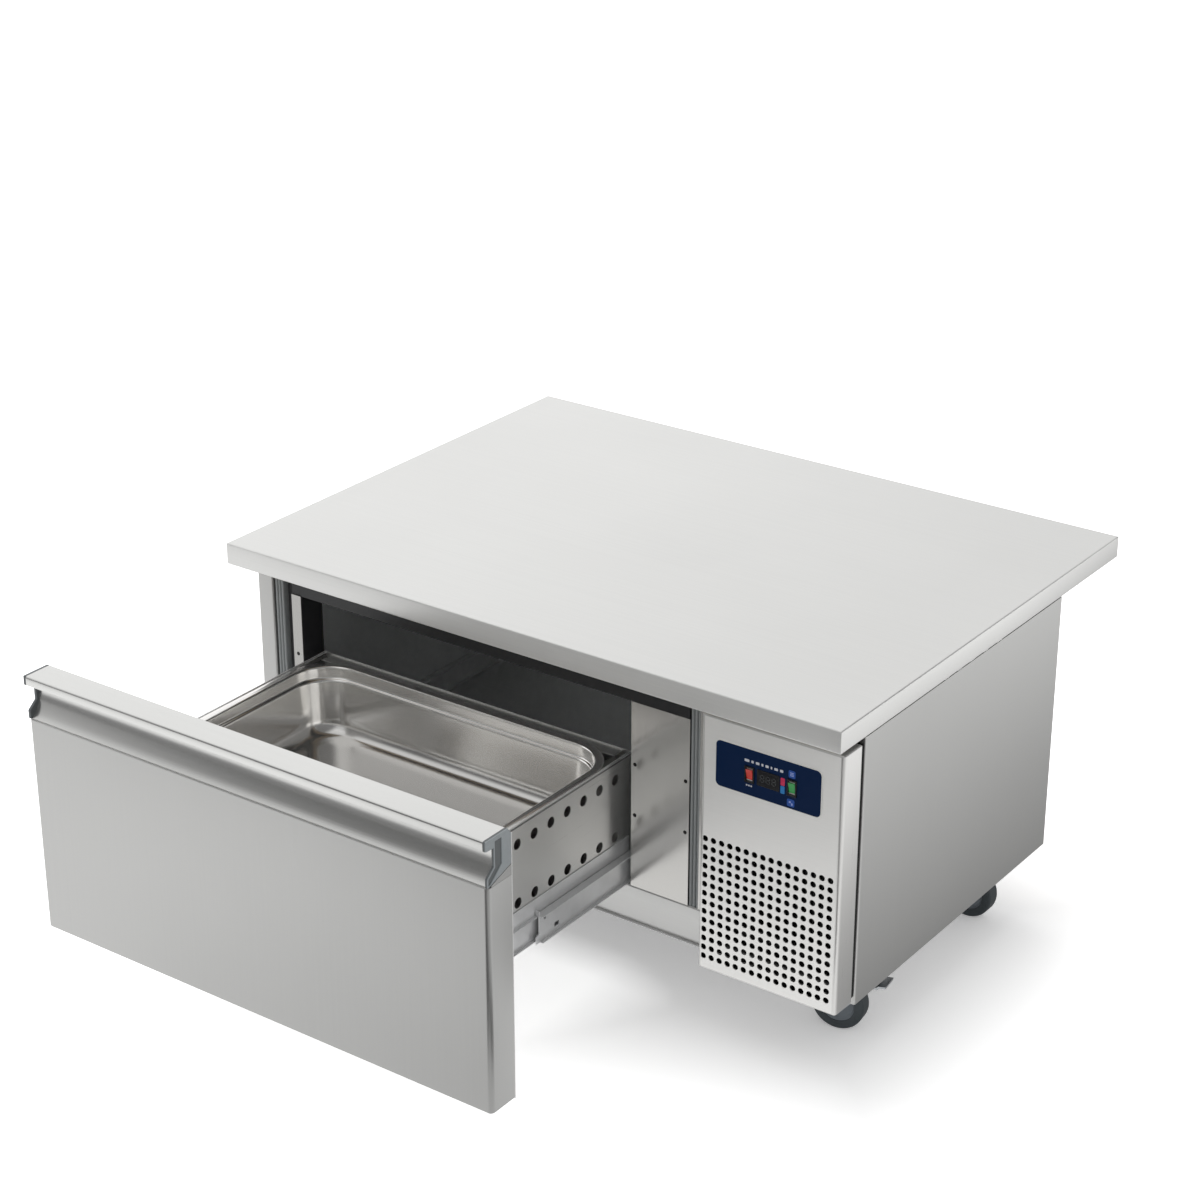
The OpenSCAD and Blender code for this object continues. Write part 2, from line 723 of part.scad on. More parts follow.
module tyre(i) color([0.2, 0.21, 0.23]) placed() at_castor(i)
    translate([castor_trail, 0, wheel_r]) rotate([90, 0, 0]) rotate_extrude() {
        shoulder = 4;
        translate([25, -wheel_w / 2 + 1]) square([wheel_r - 25 - shoulder, wheel_w - 2]);
        translate([25, -wheel_w / 2 + shoulder + 1]) square([wheel_r - 25, wheel_w - 2 * shoulder - 2]);
        for (s = [-1, 1]) translate([wheel_r - shoulder, s * (wheel_w / 2 - shoulder - 1)])
            circle(shoulder);
    }

// A pedal on a pin through the fork, with a shoe that reaches for the tyre
module brake_pedal(i) color("gray") placed() at_castor(i) {
    along_v(-leg_v + 1, leg_v - 1)
        polygon([[pedal_u + 3, pedal_z + 2], [pedal_u - 3, pedal_z + 1.5], [-26.5, pedal_z - 1.2],
            [-30, pedal_z + 2], [-40, pedal_z + 3.5], [-40, pedal_z + 0.5], [-31.5, pedal_z - 1],
            [-28.5, pedal_z - 4.5], [pedal_u - 3, pedal_z - 3], [pedal_u + 12, pedal_z - 17],
            [pedal_u + 15.5, pedal_z - 15], [pedal_u + 5, pedal_z - 1]]);
    translate([pedal_u, -leg_v - leg_t - 1, pedal_z]) rotate([-90, 0, 0])
        cylinder(h = 2 * (leg_v + leg_t + 1), r = 2);
}

// Drawer

// The handle's back edge is bevelled, and its finger recess is an arc that
// leaves the foot at this angle and ends upright under the lip
handle_bevel = 7;
recess_angle = 50;
recess_r = recess_d / (1 - cos(recess_angle));
recess_steps = 5;
handle_wall = 1.5;
cap_t = 4.5;
cap_back_low = handle_top - 48;
cap_front = face_y + 13;
front_bend = 6.5;

// Points of the handle's lip, from its low edge to the bevel at the back
function lip_points() = [[lip_y, handle_top - lip_h], [lip_y, handle_top],
    [skin_back - handle_bevel, handle_top], [skin_back - sheet_t, handle_top - handle_bevel]];

// Points of the handle, from the low end of its back over the foot, up the
// finger recess, and over the lip to the bevel
function handle_points() = concat(
    [[skin_back - sheet_t, handle_low]],
    [for (i = [0:recess_steps]) let (a = recess_angle * (1 - i / recess_steps))
        [face_y + recess_d - recess_r * (1 - cos(a)),
            handle_low + recess_r * (sin(recess_angle) - sin(a))]],
    [[face_y + recess_d, handle_top - lip_h - 1.5]], lip_points());

// A block with the front's two upright bends, inset by t from its outside
module front_block(t, y1, z0, z1) {
    r = front_bend - t;
    x0 = front_left + t;
    x1 = front_right - t;
    y0 = face_y + t;
    translate([0, 0, z0]) linear_extrude(z1 - z0) {
        translate([x0, y0 + r]) square([x1 - x0, y1 - y0 - r]);
        translate([x0 + r, y0]) square([x1 - x0 - 2 * r, r + 1]);
        for (x = [x0 + r, x1 - r]) translate([x, y0 + r]) circle(r);
    }
}

// A folded tray with a tab at each end that fills the corner under the cap
module drawer_front() color("silver") placed() {
    difference() {
        front_block(0, skin_back - sheet_t, front_low, handle_low - slit);
        front_block(sheet_t, skin_back, front_low + sheet_t, handle_low + 1);
    }
    for (x = [front_left, front_right - sheet_t])
        along_x(x, x + sheet_t) polygon([[face_y + front_bend, handle_low - 2 * slit],
            [skin_back - sheet_t, handle_low - 2 * slit], [skin_back - sheet_t, cap_back_low - slit],
            [face_y + front_bend, handle_low + 1.5]]);
}

module handle() color("whitesmoke") placed()
    along_x(front_left + cap_t, front_right - cap_t) difference() {
        polygon(handle_points());
        polygon(inset(handle_points(), -handle_wall));
    }

module drawer_foam() color("khaki") placed() {
    in = sheet_t + slit;
    front_block(in, skin_back - in, front_low + in, handle_low - slit);
    along_x(front_left + cap_t + slit, front_right - cap_t - slit)
        polygon(inset(handle_points(), -handle_wall - slit));
}

module drawer_inner_skin() color("lightgray") placed()
    slab(front_left, front_right, skin_back - sheet_t, skin_back, front_low,
        handle_top - handle_bevel - 1);

// The caps close the handle's ends, flush with the sides of the front. They
// stand a little proud in the finger recess and have a shallow pocket behind it
pocket_d = 1.5;

module handle_caps() color("slategray") placed() difference() {
    for (x = [front_left, front_right - cap_t])
        along_x(x, x + cap_t) polygon(concat(
            [[skin_back - sheet_t, cap_back_low], [face_y, handle_low], [face_y, handle_low + 12],
            [cap_front, handle_top - 39], [cap_front, handle_top - lip_h - 1]], lip_points()));
    for (x = [front_left - pocket_d, front_right - pocket_d]) along_x(x, x + 2 * pocket_d)
        polygon([[face_y + 1.5, handle_low + 3], [face_y + 5, handle_low + 3],
            [face_y + 27, handle_top - 40], [face_y + 27, handle_top - 6],
            [cap_front + 1.5, handle_top - 6], [cap_front + 1.5, handle_top - 40],
            [face_y + 1.5, handle_low + 11]]);
}

gasket_w = 12;
gasket_proud = 1.7;

module gasket() color([0.25, 0.26, 0.27]) placed() along_y(skin_back, skin_back + gasket_proud) {
    x0 = groove_x + 2;
    x1 = cold_right + 18;
    difference() {
        translate([x0, cold_low - 16]) square([x1 - x0, cold_top + 26 - cold_low + 16]);
        translate([x0 + gasket_w, cold_low - 16 + gasket_w])
            square([x1 - x0 - 2 * gasket_w, cold_top + 26 - cold_low + 16 - 2 * gasket_w]);
    }
}

// A side of the drawer box: x is its outer face, dir points into the box
module drawer_side(x, dir) {
    hole_y0 = skin_back + 26;
    difference() {
        union() {
            slab(min(x, x + dir * box_t), max(x, x + dir * box_t), skin_back, box_y1, box_low, rim_z);
            slab(min(x, x + dir * (ledge_w + box_t)), max(x, x + dir * (ledge_w + box_t)),
                skin_back, box_y1 - 22.5, ledge_z - box_t, ledge_z);
            slab(min(x, x + dir * 16), max(x, x + dir * 16), skin_back, box_y1, box_low, box_low + box_t);
            slab(min(x, x + dir * 16), max(x, x + dir * 16), skin_back, skin_back + box_t,
                box_low, ledge_z);
        }
        for (i = [0:side_hole_count - 1], z = [rim_z - 28, rim_z - 113])
            translate([x, hole_y0 + i * side_hole_pitch, z]) rotate([0, 90, 0])
            cylinder(h = 8, r = side_hole_d / 2, center = true);
    }
}

module drawer_side_left() color("silver") placed() drawer_side(box_x0, 1);
module drawer_side_right() color("silver") placed() drawer_side(box_x1, -1);

// The floor, the back, the ledge on the back and the bar that carries the
// pan's front edge: separate sheets, spot welded
module drawer_tray() color("lightgray") placed() {
    x0 = box_x0 + box_t + slit;
    x1 = box_x1 - box_t - slit;
    low = box_low + box_t;
    ledge_x0 = box_x0 + ledge_w + box_t + slit;
    ledge_x1 = box_x1 - ledge_w - box_t - slit;
    bar_y = pan_y0 - 12;
    slab(x0, x1, skin_back + box_t, box_y1 - box_t - slit, low, low + box_t);
    slab(x0, x1, box_y1 - box_t, box_y1, low, rim_z);
    slab(ledge_x0, ledge_x1, box_y1 - 22, box_y1 - box_t - slit, ledge_z - box_t, ledge_z);
    slab(ledge_x0, ledge_x1, bar_y, pan_y0 + pan_flange - 1.5, ledge_z - box_t, ledge_z);
    slab(x0, x1, bar_y, bar_y + box_t, ledge_z - 26, ledge_z - box_t);
}

// The pan steps in at a shoulder and tapers to a rounded bottom
shoulder = 20;

module pan_level(inset_by, r, drop) {
    translate([(pan_x0 + pan_x1) / 2, (pan_y0 + pan_y1) / 2, ledge_z - drop]) linear_extrude(0.2)
        rounded_rect(pan_w - 2 * inset_by, pan_d - 2 * inset_by, r, $fn = 32);
}

module pan_body(wall) {
    in = pan_flange + wall;
    hull() {
        pan_level(in, 58 - wall, -2);
        pan_level(in + 1, 57 - wall, shoulder - wall);
    }
    hull() {
        pan_level(in + 5, 54 - wall, shoulder - 3);
        pan_level(in + 10, 50 - wall, pan_h - 25 - wall);
        pan_level(in + 17, 44 - wall, pan_h - 8 - wall);
        pan_level(in + 34, 30 - wall, pan_h - 1.2 - wall);
    }
}

module pan() color("gainsboro") placed() difference() {
    union() {
        translate([(pan_x0 + pan_x1) / 2, (pan_y0 + pan_y1) / 2, ledge_z]) linear_extrude(1.2)
            rounded_rect(pan_w, pan_d, 70, $fn = 48);
        intersection() {
            pan_body(0);
            slab(pan_x0, pan_x1, pan_y0, pan_y1, ledge_z - pan_h - 1, ledge_z + 0.5);
        }
    }
    pan_body(1);
}

worktop();
worktop_core();
side_panel_left();
side_panel_right();
back_panel();
base_panel();
insulation();
inner_liner();
breaker_frame();
top_rail();
sill();
post_strips();
front_plates();
evaporator_cover();
evaporator();
evaporator_fan();
cabinet_slides();
tech_panel();
control_plate();
display();
switch_frames();
red_switch();
green_switch();
control_box();
compressor();
condenser();
fan_shroud();
condenser_fan();
unit_base();
refrigerant_pipes();
drip_tray();
power_gland();
body_screws();
castor_plates();
castor_fork(0);  // castor_fork_fl
castor_fork(1);  // castor_fork_fr
castor_fork(2);  // castor_fork_rl
castor_fork(3);  // castor_fork_rr
wheel_hub(0);  // wheel_hub_fl
wheel_hub(1);  // wheel_hub_fr
wheel_hub(2);  // wheel_hub_rl
wheel_hub(3);  // wheel_hub_rr
tyre(0);  // tyre_fl
tyre(1);  // tyre_fr
tyre(2);  // tyre_rl
tyre(3);  // tyre_rr
brake_pedal(0);  // brake_pedal_fl
brake_pedal(1);  // brake_pedal_fr
drawer_front();
drawer_foam();
drawer_inner_skin();
handle();
handle_caps();
gasket();
drawer_side_left();
drawer_side_right();
drawer_tray();
pan();
drawer_slides();
middle_slides();
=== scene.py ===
"""A freezer chef base: a low steel cabinet on castors with its wide drawer pulled out.

Each section below makes one piece, or one group of like pieces, in the order in which
the cabinet is put together. All sizes are in metres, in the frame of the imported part.
"""
import math

import bmesh
import bpy
from mathutils import Matrix, Vector


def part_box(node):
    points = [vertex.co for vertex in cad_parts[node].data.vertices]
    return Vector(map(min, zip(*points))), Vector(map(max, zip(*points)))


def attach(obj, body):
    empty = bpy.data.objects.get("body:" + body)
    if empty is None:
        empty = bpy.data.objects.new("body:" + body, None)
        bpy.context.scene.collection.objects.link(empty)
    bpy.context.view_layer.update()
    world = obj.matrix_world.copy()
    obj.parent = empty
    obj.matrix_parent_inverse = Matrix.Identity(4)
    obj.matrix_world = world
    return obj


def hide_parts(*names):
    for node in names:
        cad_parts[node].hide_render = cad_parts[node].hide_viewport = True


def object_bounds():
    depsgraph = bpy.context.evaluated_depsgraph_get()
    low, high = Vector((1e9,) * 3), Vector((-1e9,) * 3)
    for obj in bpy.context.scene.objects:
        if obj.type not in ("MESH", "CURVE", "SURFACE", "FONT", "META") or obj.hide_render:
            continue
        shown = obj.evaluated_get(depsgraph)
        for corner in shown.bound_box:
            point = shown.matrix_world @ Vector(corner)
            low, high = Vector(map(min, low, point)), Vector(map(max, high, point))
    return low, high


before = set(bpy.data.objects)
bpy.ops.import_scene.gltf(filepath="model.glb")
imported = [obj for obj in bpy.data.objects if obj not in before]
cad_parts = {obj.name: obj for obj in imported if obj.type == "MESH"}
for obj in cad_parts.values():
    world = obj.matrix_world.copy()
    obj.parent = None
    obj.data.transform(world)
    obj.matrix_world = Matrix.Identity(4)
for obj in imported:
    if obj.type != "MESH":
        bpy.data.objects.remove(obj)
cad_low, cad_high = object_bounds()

scene = bpy.context.scene
scene.view_settings.view_transform = "Standard"

# Camera
# It stands to the right of the open drawer and above it, at the photograph's viewing
# angle, with a long lens that keeps the cabinet's edges nearly parallel.
camera_place = Vector((1.967, -2.700, 1.985))
camera_pitch = math.radians(24.01)
camera_turn = math.radians(35.77)

camera = bpy.data.objects.new("camera", bpy.data.cameras.new("camera"))
camera.data.lens = 81.59
camera.data.sensor_width = 36
camera.location = camera_place
camera.rotation_euler = (math.pi / 2 - camera_pitch, 0, camera_turn)
scene.collection.objects.link(camera)
scene.camera = camera

# Floor and light
# A pale floor runs out past every view and shows white where nothing shades it. A wide
# soft sun behind the cabinet's left casts the shadow. The room gives even light, and the
# metal mirrors it bright at the left, at the back and overhead, and dark at the right.


def node(tree, kind, **settings):
    """A new node of a tree, with its settings."""
    made = tree.nodes.new(kind)
    for name, value in settings.items():
        setattr(made, name, value)
    return made


def feed(tree, socket, value):
    """Gives a socket a number, or links another socket to it."""
    if isinstance(value, (int, float)):
        socket.default_value = value
    else:
        tree.links.new(value, socket)


def wire(tree, *links):
    """Links a tree's nodes; each link is a node, its output, the next node and its input."""
    for source, output, target, socket in links:
        tree.links.new(source.outputs[output], target.inputs[socket])


def maths(tree, operation, first, second):
    """The result of one sum on two sockets or numbers."""
    made = node(tree, "ShaderNodeMath", operation=operation)
    feed(tree, made.inputs[0], first)
    feed(tree, made.inputs[1], second)
    return made.outputs[0]


def mixed(tree, share, first, second):
    """A number between two sockets or numbers."""
    made = node(tree, "ShaderNodeMix", data_type="FLOAT")
    for place, value in ((0, share), (2, first), (3, second)):
        feed(tree, made.inputs[place], value)
    return made.outputs[0]


def ranged(tree, source, start, end, low, high, curve="LINEAR"):
    """A socket's number, taken from one range to another and kept within it."""
    made = node(tree, "ShaderNodeMapRange", interpolation_type=curve)
    for name, value in (("From Min", start), ("From Max", end), ("To Min", low), ("To Max", high)):
        made.inputs[name].default_value = value
    tree.links.new(source, made.inputs["Value"])
    return made.outputs[0]


def plainly_seen(tree, path):
    """One for what the camera sees, also through glass, and zero for light and mirrored things."""
    return maths(tree, "MAXIMUM", path.outputs["Is Camera Ray"], path.outputs["Is Transmission Ray"])


def flat_sheet(name, x0, x1, y0, y1, z, material):
    """A level rectangle of the studio."""
    mesh = bpy.data.meshes.new(name)
    mesh.from_pydata([(x0, y0, z), (x1, y0, z), (x1, y1, z), (x0, y1, z)], [], [(0, 1, 2, 3)])
    mesh.materials.append(material)
    sheet = bpy.data.objects.new(name, mesh)
    scene.collection.objects.link(sheet)
    return sheet


floor_size = 40
floor_tone = 1.0
floor_bounce = 0.70
mirrored_tone = 0.15
mirrored_glow = 0.92
floor_paint = bpy.data.materials.new("floor_paint")
floor_paint.use_nodes = True
floor_tree = floor_paint.node_tree
floor_tree.nodes.clear()
floor_path = node(floor_tree, "ShaderNodeLightPath")
floor_seen = plainly_seen(floor_tree, floor_path)
floor_mirrored = floor_path.outputs["Is Glossy Ray"]
floor_place = node(floor_tree, "ShaderNodeSeparateXYZ")
wire(floor_tree, (node(floor_tree, "ShaderNodeTexCoord"), "Object", floor_place, 0))
floor_x, floor_y = floor_place.outputs["X"], floor_place.outputs["Y"]
# The floor as the metal mirrors it is painted darker close to the cabinet's right, in front
# of the drawer's right half, and far out in front: a painted reflection.
beside = maths(floor_tree, "MULTIPLY", ranged(floor_tree, floor_x, 0.50, 1.20, 0.20, 1.06),
               ranged(floor_tree, floor_y, 0.80, 1.40, 1, 1.25))
in_front = ranged(floor_tree, floor_x, -0.60, 0.15, 1.06, 0.66)
before_cabinet = ranged(floor_tree, floor_y, -0.02, -0.22, 0, 1)
to_the_front = ranged(floor_tree, floor_y, -0.35, -0.75, 0, 1)
far_out = ranged(floor_tree, floor_y, -1.40, -1.85, 1, 0.06)
near_share = mixed(floor_tree, before_cabinet, beside, 1.05)
around_share = mixed(floor_tree, to_the_front, near_share, in_front)
painted_reflection_share = maths(floor_tree, "MULTIPLY", around_share, far_out)
# Its own glow is faint close to the cabinet and strong away from it, a painted shadow round the base.
across_gap = maths(floor_tree, "SUBTRACT", maths(floor_tree, "ABSOLUTE", floor_x, 0), 0.50)
front_gap = maths(floor_tree, "SUBTRACT", -0.12, floor_y)
back_gap = maths(floor_tree, "SUBTRACT", floor_y, 0.40)
gap = maths(floor_tree, "MAXIMUM", across_gap, maths(floor_tree, "MAXIMUM", front_gap, back_gap))
# At the front left the glow stays strong close by, painted light that takes the shadow away.
left_front = maths(floor_tree, "MULTIPLY", ranged(floor_tree, floor_x, 0.10, 0.34, 0.62, 0),
                   ranged(floor_tree, floor_y, 0.02, -0.12, 0, 1))
floor_glow_with_painted_shadow = maths(floor_tree, "MAXIMUM", left_front, ranged(floor_tree, gap, -0.02, 0.32, 0.25, 0.80))
floor_matt = node(floor_tree, "ShaderNodeBsdfDiffuse")
unseen_tone = mixed(floor_tree, floor_mirrored, floor_bounce, mirrored_tone)
feed(floor_tree, floor_matt.inputs["Color"], mixed(floor_tree, floor_seen, unseen_tone, floor_tone))
floor_light = node(floor_tree, "ShaderNodeEmission")
full_glow = maths(floor_tree, "MULTIPLY", floor_mirrored, mirrored_glow)
mirrored_light = maths(floor_tree, "MULTIPLY", full_glow, painted_reflection_share)
feed(floor_tree, floor_light.inputs["Strength"], mixed(floor_tree, floor_seen, mirrored_light, floor_glow_with_painted_shadow))
floor_sum = node(floor_tree, "ShaderNodeAddShader")
wire(floor_tree, (floor_matt, 0, floor_sum, 0), (floor_light, 0, floor_sum, 1),
     (floor_sum, 0, node(floor_tree, "ShaderNodeOutputMaterial"), 0))
flat_sheet("studio_floor", -floor_size, floor_size, -floor_size, floor_size, 0, floor_paint)

# Black flags on the floor in front, which only the metal mirrors
flag_black = bpy.data.materials.new("flag_black")
flag_black.use_nodes = True
flag_shader = flag_black.node_tree.nodes["Principled BSDF"]
flag_shader.inputs["Base Color"].default_value = (0.02, 0.02, 0.02, 1)
flag_shader.inputs["Roughness"].default_value = 1
for name, x0, x1, y0, y1 in (("flag_front", 0.17, 0.75, -1.9, -0.86),
                             ("flag_right", 0.50, 0.75, -0.86, -0.40)):
    flag = flat_sheet(name, x0, x1, y0, y1, 0.001, flag_black)
    for rays in ("visible_camera", "visible_diffuse", "visible_transmission", "visible_shadow"):
        setattr(flag, rays, False)

room = bpy.data.worlds.new("soft_room")
scene.world = room
room.use_nodes = True
sky = room.node_tree
sky.nodes.clear()
sky_path = node(sky, "ShaderNodeLightPath")
toward = node(sky, "ShaderNodeSeparateXYZ")
wire(sky, (node(sky, "ShaderNodeTexCoord"), "Generated", toward, 0))
even_light = 0.80
leftness = maths(sky, "SUBTRACT", toward.outputs["X"], maths(sky, "MULTIPLY", toward.outputs["Y"], 0.14))
left_bright = ranged(sky, leftness, -0.69, -0.52, 1, 0, "SMOOTHSTEP")
# In front the metal mirrors a dark band at the left and a brighter room away from it.
front_glow = ranged(sky, toward.outputs["X"], -0.46, -0.26, 0.12, 0.75)
front_to_back = mixed(sky, ranged(sky, toward.outputs["Y"], -0.35, 0.45, 0, 1), front_glow, 1.0)
overhead = ranged(sky, toward.outputs["Z"], 0.48, 0.74, 0, 1)
open_side = maths(sky, "MAXIMUM", mixed(sky, left_bright, front_to_back, 1.28), overhead)
right_dark = ranged(sky, toward.outputs["X"], 0.05, 0.35, 0, 1)
mirrored = mixed(sky, right_dark, open_side, 0.22)
room_light = node(sky, "ShaderNodeBackground")
unseen_light = mixed(sky, sky_path.outputs["Is Glossy Ray"], even_light, mirrored)
feed(sky, room_light.inputs["Strength"], mixed(sky, plainly_seen(sky, sky_path), unseen_light, 1.0))
wire(sky, (room_light, 0, node(sky, "ShaderNodeOutputWorld"), "Surface"))

soft_sun = bpy.data.objects.new("soft_sun", bpy.data.lights.new("soft_sun", "SUN"))
soft_sun.data.energy = 1.0
soft_sun.data.angle = math.radians(45)
soft_sun.rotation_euler = Vector((-0.42, 0.30, 0.95)).to_track_quat("Z", "Y").to_euler()
soft_sun.visible_glossy = False
scene.collection.objects.link(soft_sun)

# Worktop
# One brushed stainless sheet, folded down to a rim on all four sides and in again to a
# narrow flange below. Its corners are welded and ground. A plywood board fills it.


def grain_scale(along, fine, coarse=2.5):
    """How a grain texture is stretched: coarse along one axis, fine across it."""
    return Vector(coarse if axis == along else fine for axis in "xyz")


def new_finish(name, metallic):
    """An empty finish, its tree and the Object coordinates in it."""
    made = bpy.data.materials.new(name)
    made.use_nodes = True
    tree = made.node_tree
    tree.nodes["Principled BSDF"].inputs["Metallic"].default_value = metallic
    return made, tree, node(tree, "ShaderNodeTexCoord").outputs["Object"]


def noise(tree, place, size, detail, roughness=0.5):
    """Soft noise at a place."""
    made = node(tree, "ShaderNodeTexNoise")
    for name, value in (("Scale", size), ("Detail", detail), ("Roughness", roughness)):
        made.inputs[name].default_value = value
    feed(tree, made.inputs["Vector"], place)
    return made.outputs["Fac"]


def coat(tree, colour, tone, gloss, height, relief, depth):
    """Gives a finish its colour times a tone, its roughness, and a relief if it has any."""
    shader = tree.nodes["Principled BSDF"]
    tint = node(tree, "ShaderNodeVectorMath", operation="SCALE")
    tint.inputs[0].default_value = colour
    feed(tree, tint.inputs["Scale"], tone)
    feed(tree, shader.inputs["Base Color"], tint.outputs[0])
    feed(tree, shader.inputs["Roughness"], gloss)
    if relief:
        bump = node(tree, "ShaderNodeBump")
        bump.inputs["Strength"].default_value = relief
        bump.inputs["Distance"].default_value = depth
        feed(tree, bump.inputs["Height"], height)
        feed(tree, shader.inputs["Normal"], bump.outputs[0])


def steel(name, colour, roughness, along="x", grain=0.05, fine=420, relief=0.06, gloss=0.04, metal=0.82):
    """Stainless sheet: a linear grain that shows in its tone, gloss and relief, over slow patches."""
    made, tree, place = new_finish(name, metal)
    stretch = node(tree, "ShaderNodeMapping")
    stretch.inputs["Scale"].default_value = grain_scale(along, fine)
    feed(tree, stretch.inputs[0], place)
    lines = noise(tree, stretch.outputs[0], 1, 5, 0.7)
    streaks = ranged(tree, lines, 0.25, 0.75, 1 - grain, 1 + grain)
    clouds = ranged(tree, noise(tree, place, 3.5, 2), 0.25, 0.75, 0.985, 1.015)
    rough = ranged(tree, lines, 0.25, 0.75, roughness - gloss, roughness + gloss)
    coat(tree, colour, maths(tree, "MULTIPLY", streaks, clouds), rough, lines, relief, 0.0001)
    return made


def as_piece(name, build, material, sharp=35):
    """A mesh piece from a bmesh: faces outwards, smooth except over sharp edges."""
    bmesh.ops.recalc_face_normals(build, faces=build.faces)
    for face in build.faces:
        face.smooth = True
    for edge in build.edges:
        edge.smooth = edge.is_manifold and edge.calc_face_angle(0) < math.radians(sharp)
    mesh = bpy.data.meshes.new(name)
    build.to_mesh(mesh)
    build.free()
    mesh.materials.append(material)
    piece = bpy.data.objects.new(name, mesh)
    scene.collection.objects.link(piece)
    return piece


def fit(piece, body, slot, *nodes):
    """The piece moves with a body and stands for CAD nodes if any are given. Its slot is not used."""
    if nodes:
        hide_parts(*nodes)
    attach(piece, body)


def rounded_ring(width, height, radius, steps=6):
    """Points round a rectangle with round corners, centred on zero."""
    points = []
    corners = [(1, 1), (-1, 1), (-1, -1), (1, -1)]
    for quarter, (sx, sy) in enumerate(corners):
        for k in range(steps + 1):
            angle = math.pi / 2 * (quarter + k / steps)
            points.append((sx * (width / 2 - radius) + radius * math.cos(angle),
                           sy * (height / 2 - radius) + radius * math.sin(angle)))
    return points


def join_rows(build, first, second):
    """Faces between two closed rows of as many points each."""
    for i, point in enumerate(first):
        j = (i + 1) % len(first)
        build.faces.new((point, first[j], second[j], second[i]))


def add_rings(build, rings, capped=True):
    """Rows of points from rings of as many each, with faces between them, and both ends closed."""
    rows = [[build.verts.new(point) for point in ring] for ring in rings]
    for lower, upper in zip(rows, rows[1:]):
        join_rows(build, lower, upper)
    if capped:
        build.faces.new(rows[0])
        build.faces.new(rows[-1])
    return rows


def bend_inset(bend, drop):
    """How far a folded edge lies inside the outer wall at a drop below the face."""
    return bend - math.sqrt(max(0, bend ** 2 - max(0, bend - drop) ** 2))


def tray_levels(depth, bends, sheet, flange=0, steps=6):
    """Insets across and up, and depth, of a folded tray from its face round its rim to the inside."""
    drops = sorted({round(bend * (1 - math.cos(math.pi / 2 * k / steps)), 7)
                    for bend in bends for k in range(steps + 1)})
    levels = [(bend_inset(bends[0], d), bend_inset(bends[1], d), d) for d in drops]
    if flange:
        levels += [(across, up, depth - d) for across, up, d in reversed(levels)]
        levels += [(flange, flange, depth), (flange, flange, depth - sheet),
                   (2 * sheet, 2 * sheet, depth - sheet), (sheet, sheet, depth - 2 * sheet)]
    else:
        levels += [(0, 0, depth), (sheet, sheet, depth)]
    inner = [max(bend - sheet, 0) for bend in bends]
    levels += [(sheet + bend_inset(inner[0], d), sheet + bend_inset(inner[1], d), sheet + d)
               for d in reversed(drops)]
    return levels


def tray_rings(size, depth, bends, sheet, place, flange=0, corner=0.0015):
    """Closed rings round a folded tray; place turns a point across, up and deep into the frame."""
    rings = []
    for across, up, drop in tray_levels(depth, bends, sheet, flange):
        radius = max(corner - min(across, up), 0.0003)
        ring = rounded_ring(size[0] - 2 * across, size[1] - 2 * up, radius, 3)
        rings.append([place(u, v, drop) for u, v in ring])
    return rings


def folded_tray(name, size, depth, bends, sheet, place, material, flange=0):
    """A tray folded from one sheet, with its own bend along the uprights and along the level edges."""
    build = bmesh.new()
    add_rings(build, tray_rings(size, depth, bends, sheet, place, flange))
    return as_piece(name, build, material)


worktop_finish = steel("worktop_brushed", (0.80, 0.80, 0.785), 0.33, "x", 0.025, metal=0.62)
top_low, top_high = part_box("worktop")
top_middle = (top_low + top_high) / 2
top_size = (top_high.x - top_low.x, top_high.y - top_low.y)
top_sheet = 0.0012
top_bend = 0.0024
top_flange = 0.015
worktop = folded_tray("worktop_sheet", top_size, top_high.z - top_low.z, (top_bend, top_bend), top_sheet,
                      lambda u, v, drop: (top_middle.x + u, top_middle.y + v, top_high.z - drop),
                      worktop_finish, top_flange)
fit(worktop, "cabinet", "worktop_steel", "worktop")


def plain(name, colour, roughness, spots=0.04, size=60, metallic=0, relief=0.1, depth=0.0003):
    """Moulded, painted or cast stuff: one colour with small spots in tone, gloss and relief."""
    made, tree, place = new_finish(name, metallic)
    grain = noise(tree, place, size, 4)
    tone = ranged(tree, grain, 0, 1, 1 - 3 * spots, 1 + 3 * spots)
    gloss = ranged(tree, grain, 0, 1, roughness - spots, roughness + spots)
    coat(tree, colour, tone, gloss, grain, relief, depth)
    return made


def dress(material, *nodes):
    """Gives CAD nodes that stay as they are their finish."""
    for name in nodes:
        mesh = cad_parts[name].data
        mesh.materials.clear()
        mesh.materials.append(material)


dress(plain("plywood", (0.55, 0.42, 0.28), 0.7, 0.06, 25), "worktop_core")

# Side panels
# Stainless sheets that run from front to back. Each turns in at the front to a narrow
# flange that stiffens the post, and back again behind it.


def rounded_line(points, radius, steps=5):
    """A line through points with each inner corner turned into an arc."""
    points = [Vector(p) for p in points]
    line = [points[0]]
    for before, corner, after in zip(points, points[1:], points[2:]):
        a = (before - corner).normalized()
        b = (after - corner).normalized()
        half = a.angle(b) / 2
        reach = radius / math.tan(half)
        middle = corner + (a + b).normalized() * radius / math.sin(half)
        start = corner + a * reach - middle
        end = corner + b * reach - middle
        turn = start.angle_signed(end)
        for k in range(steps + 1):
            line.append(middle + Matrix.Rotation(-turn * k / steps, 2) @ start)
    return line + [points[-1]]


def thickened(line, sheet):
    """The outline of a sheet that follows a line."""
    sides = []
    for i, point in enumerate(line):
        ahead = line[min(i + 1, len(line) - 1)] - line[max(i - 1, 0)]
        across = Vector((-ahead.y, ahead.x)).normalized() * sheet / 2
        sides.append((point + across, point - across))
    return [left for left, _ in sides] + [right for _, right in reversed(sides)]


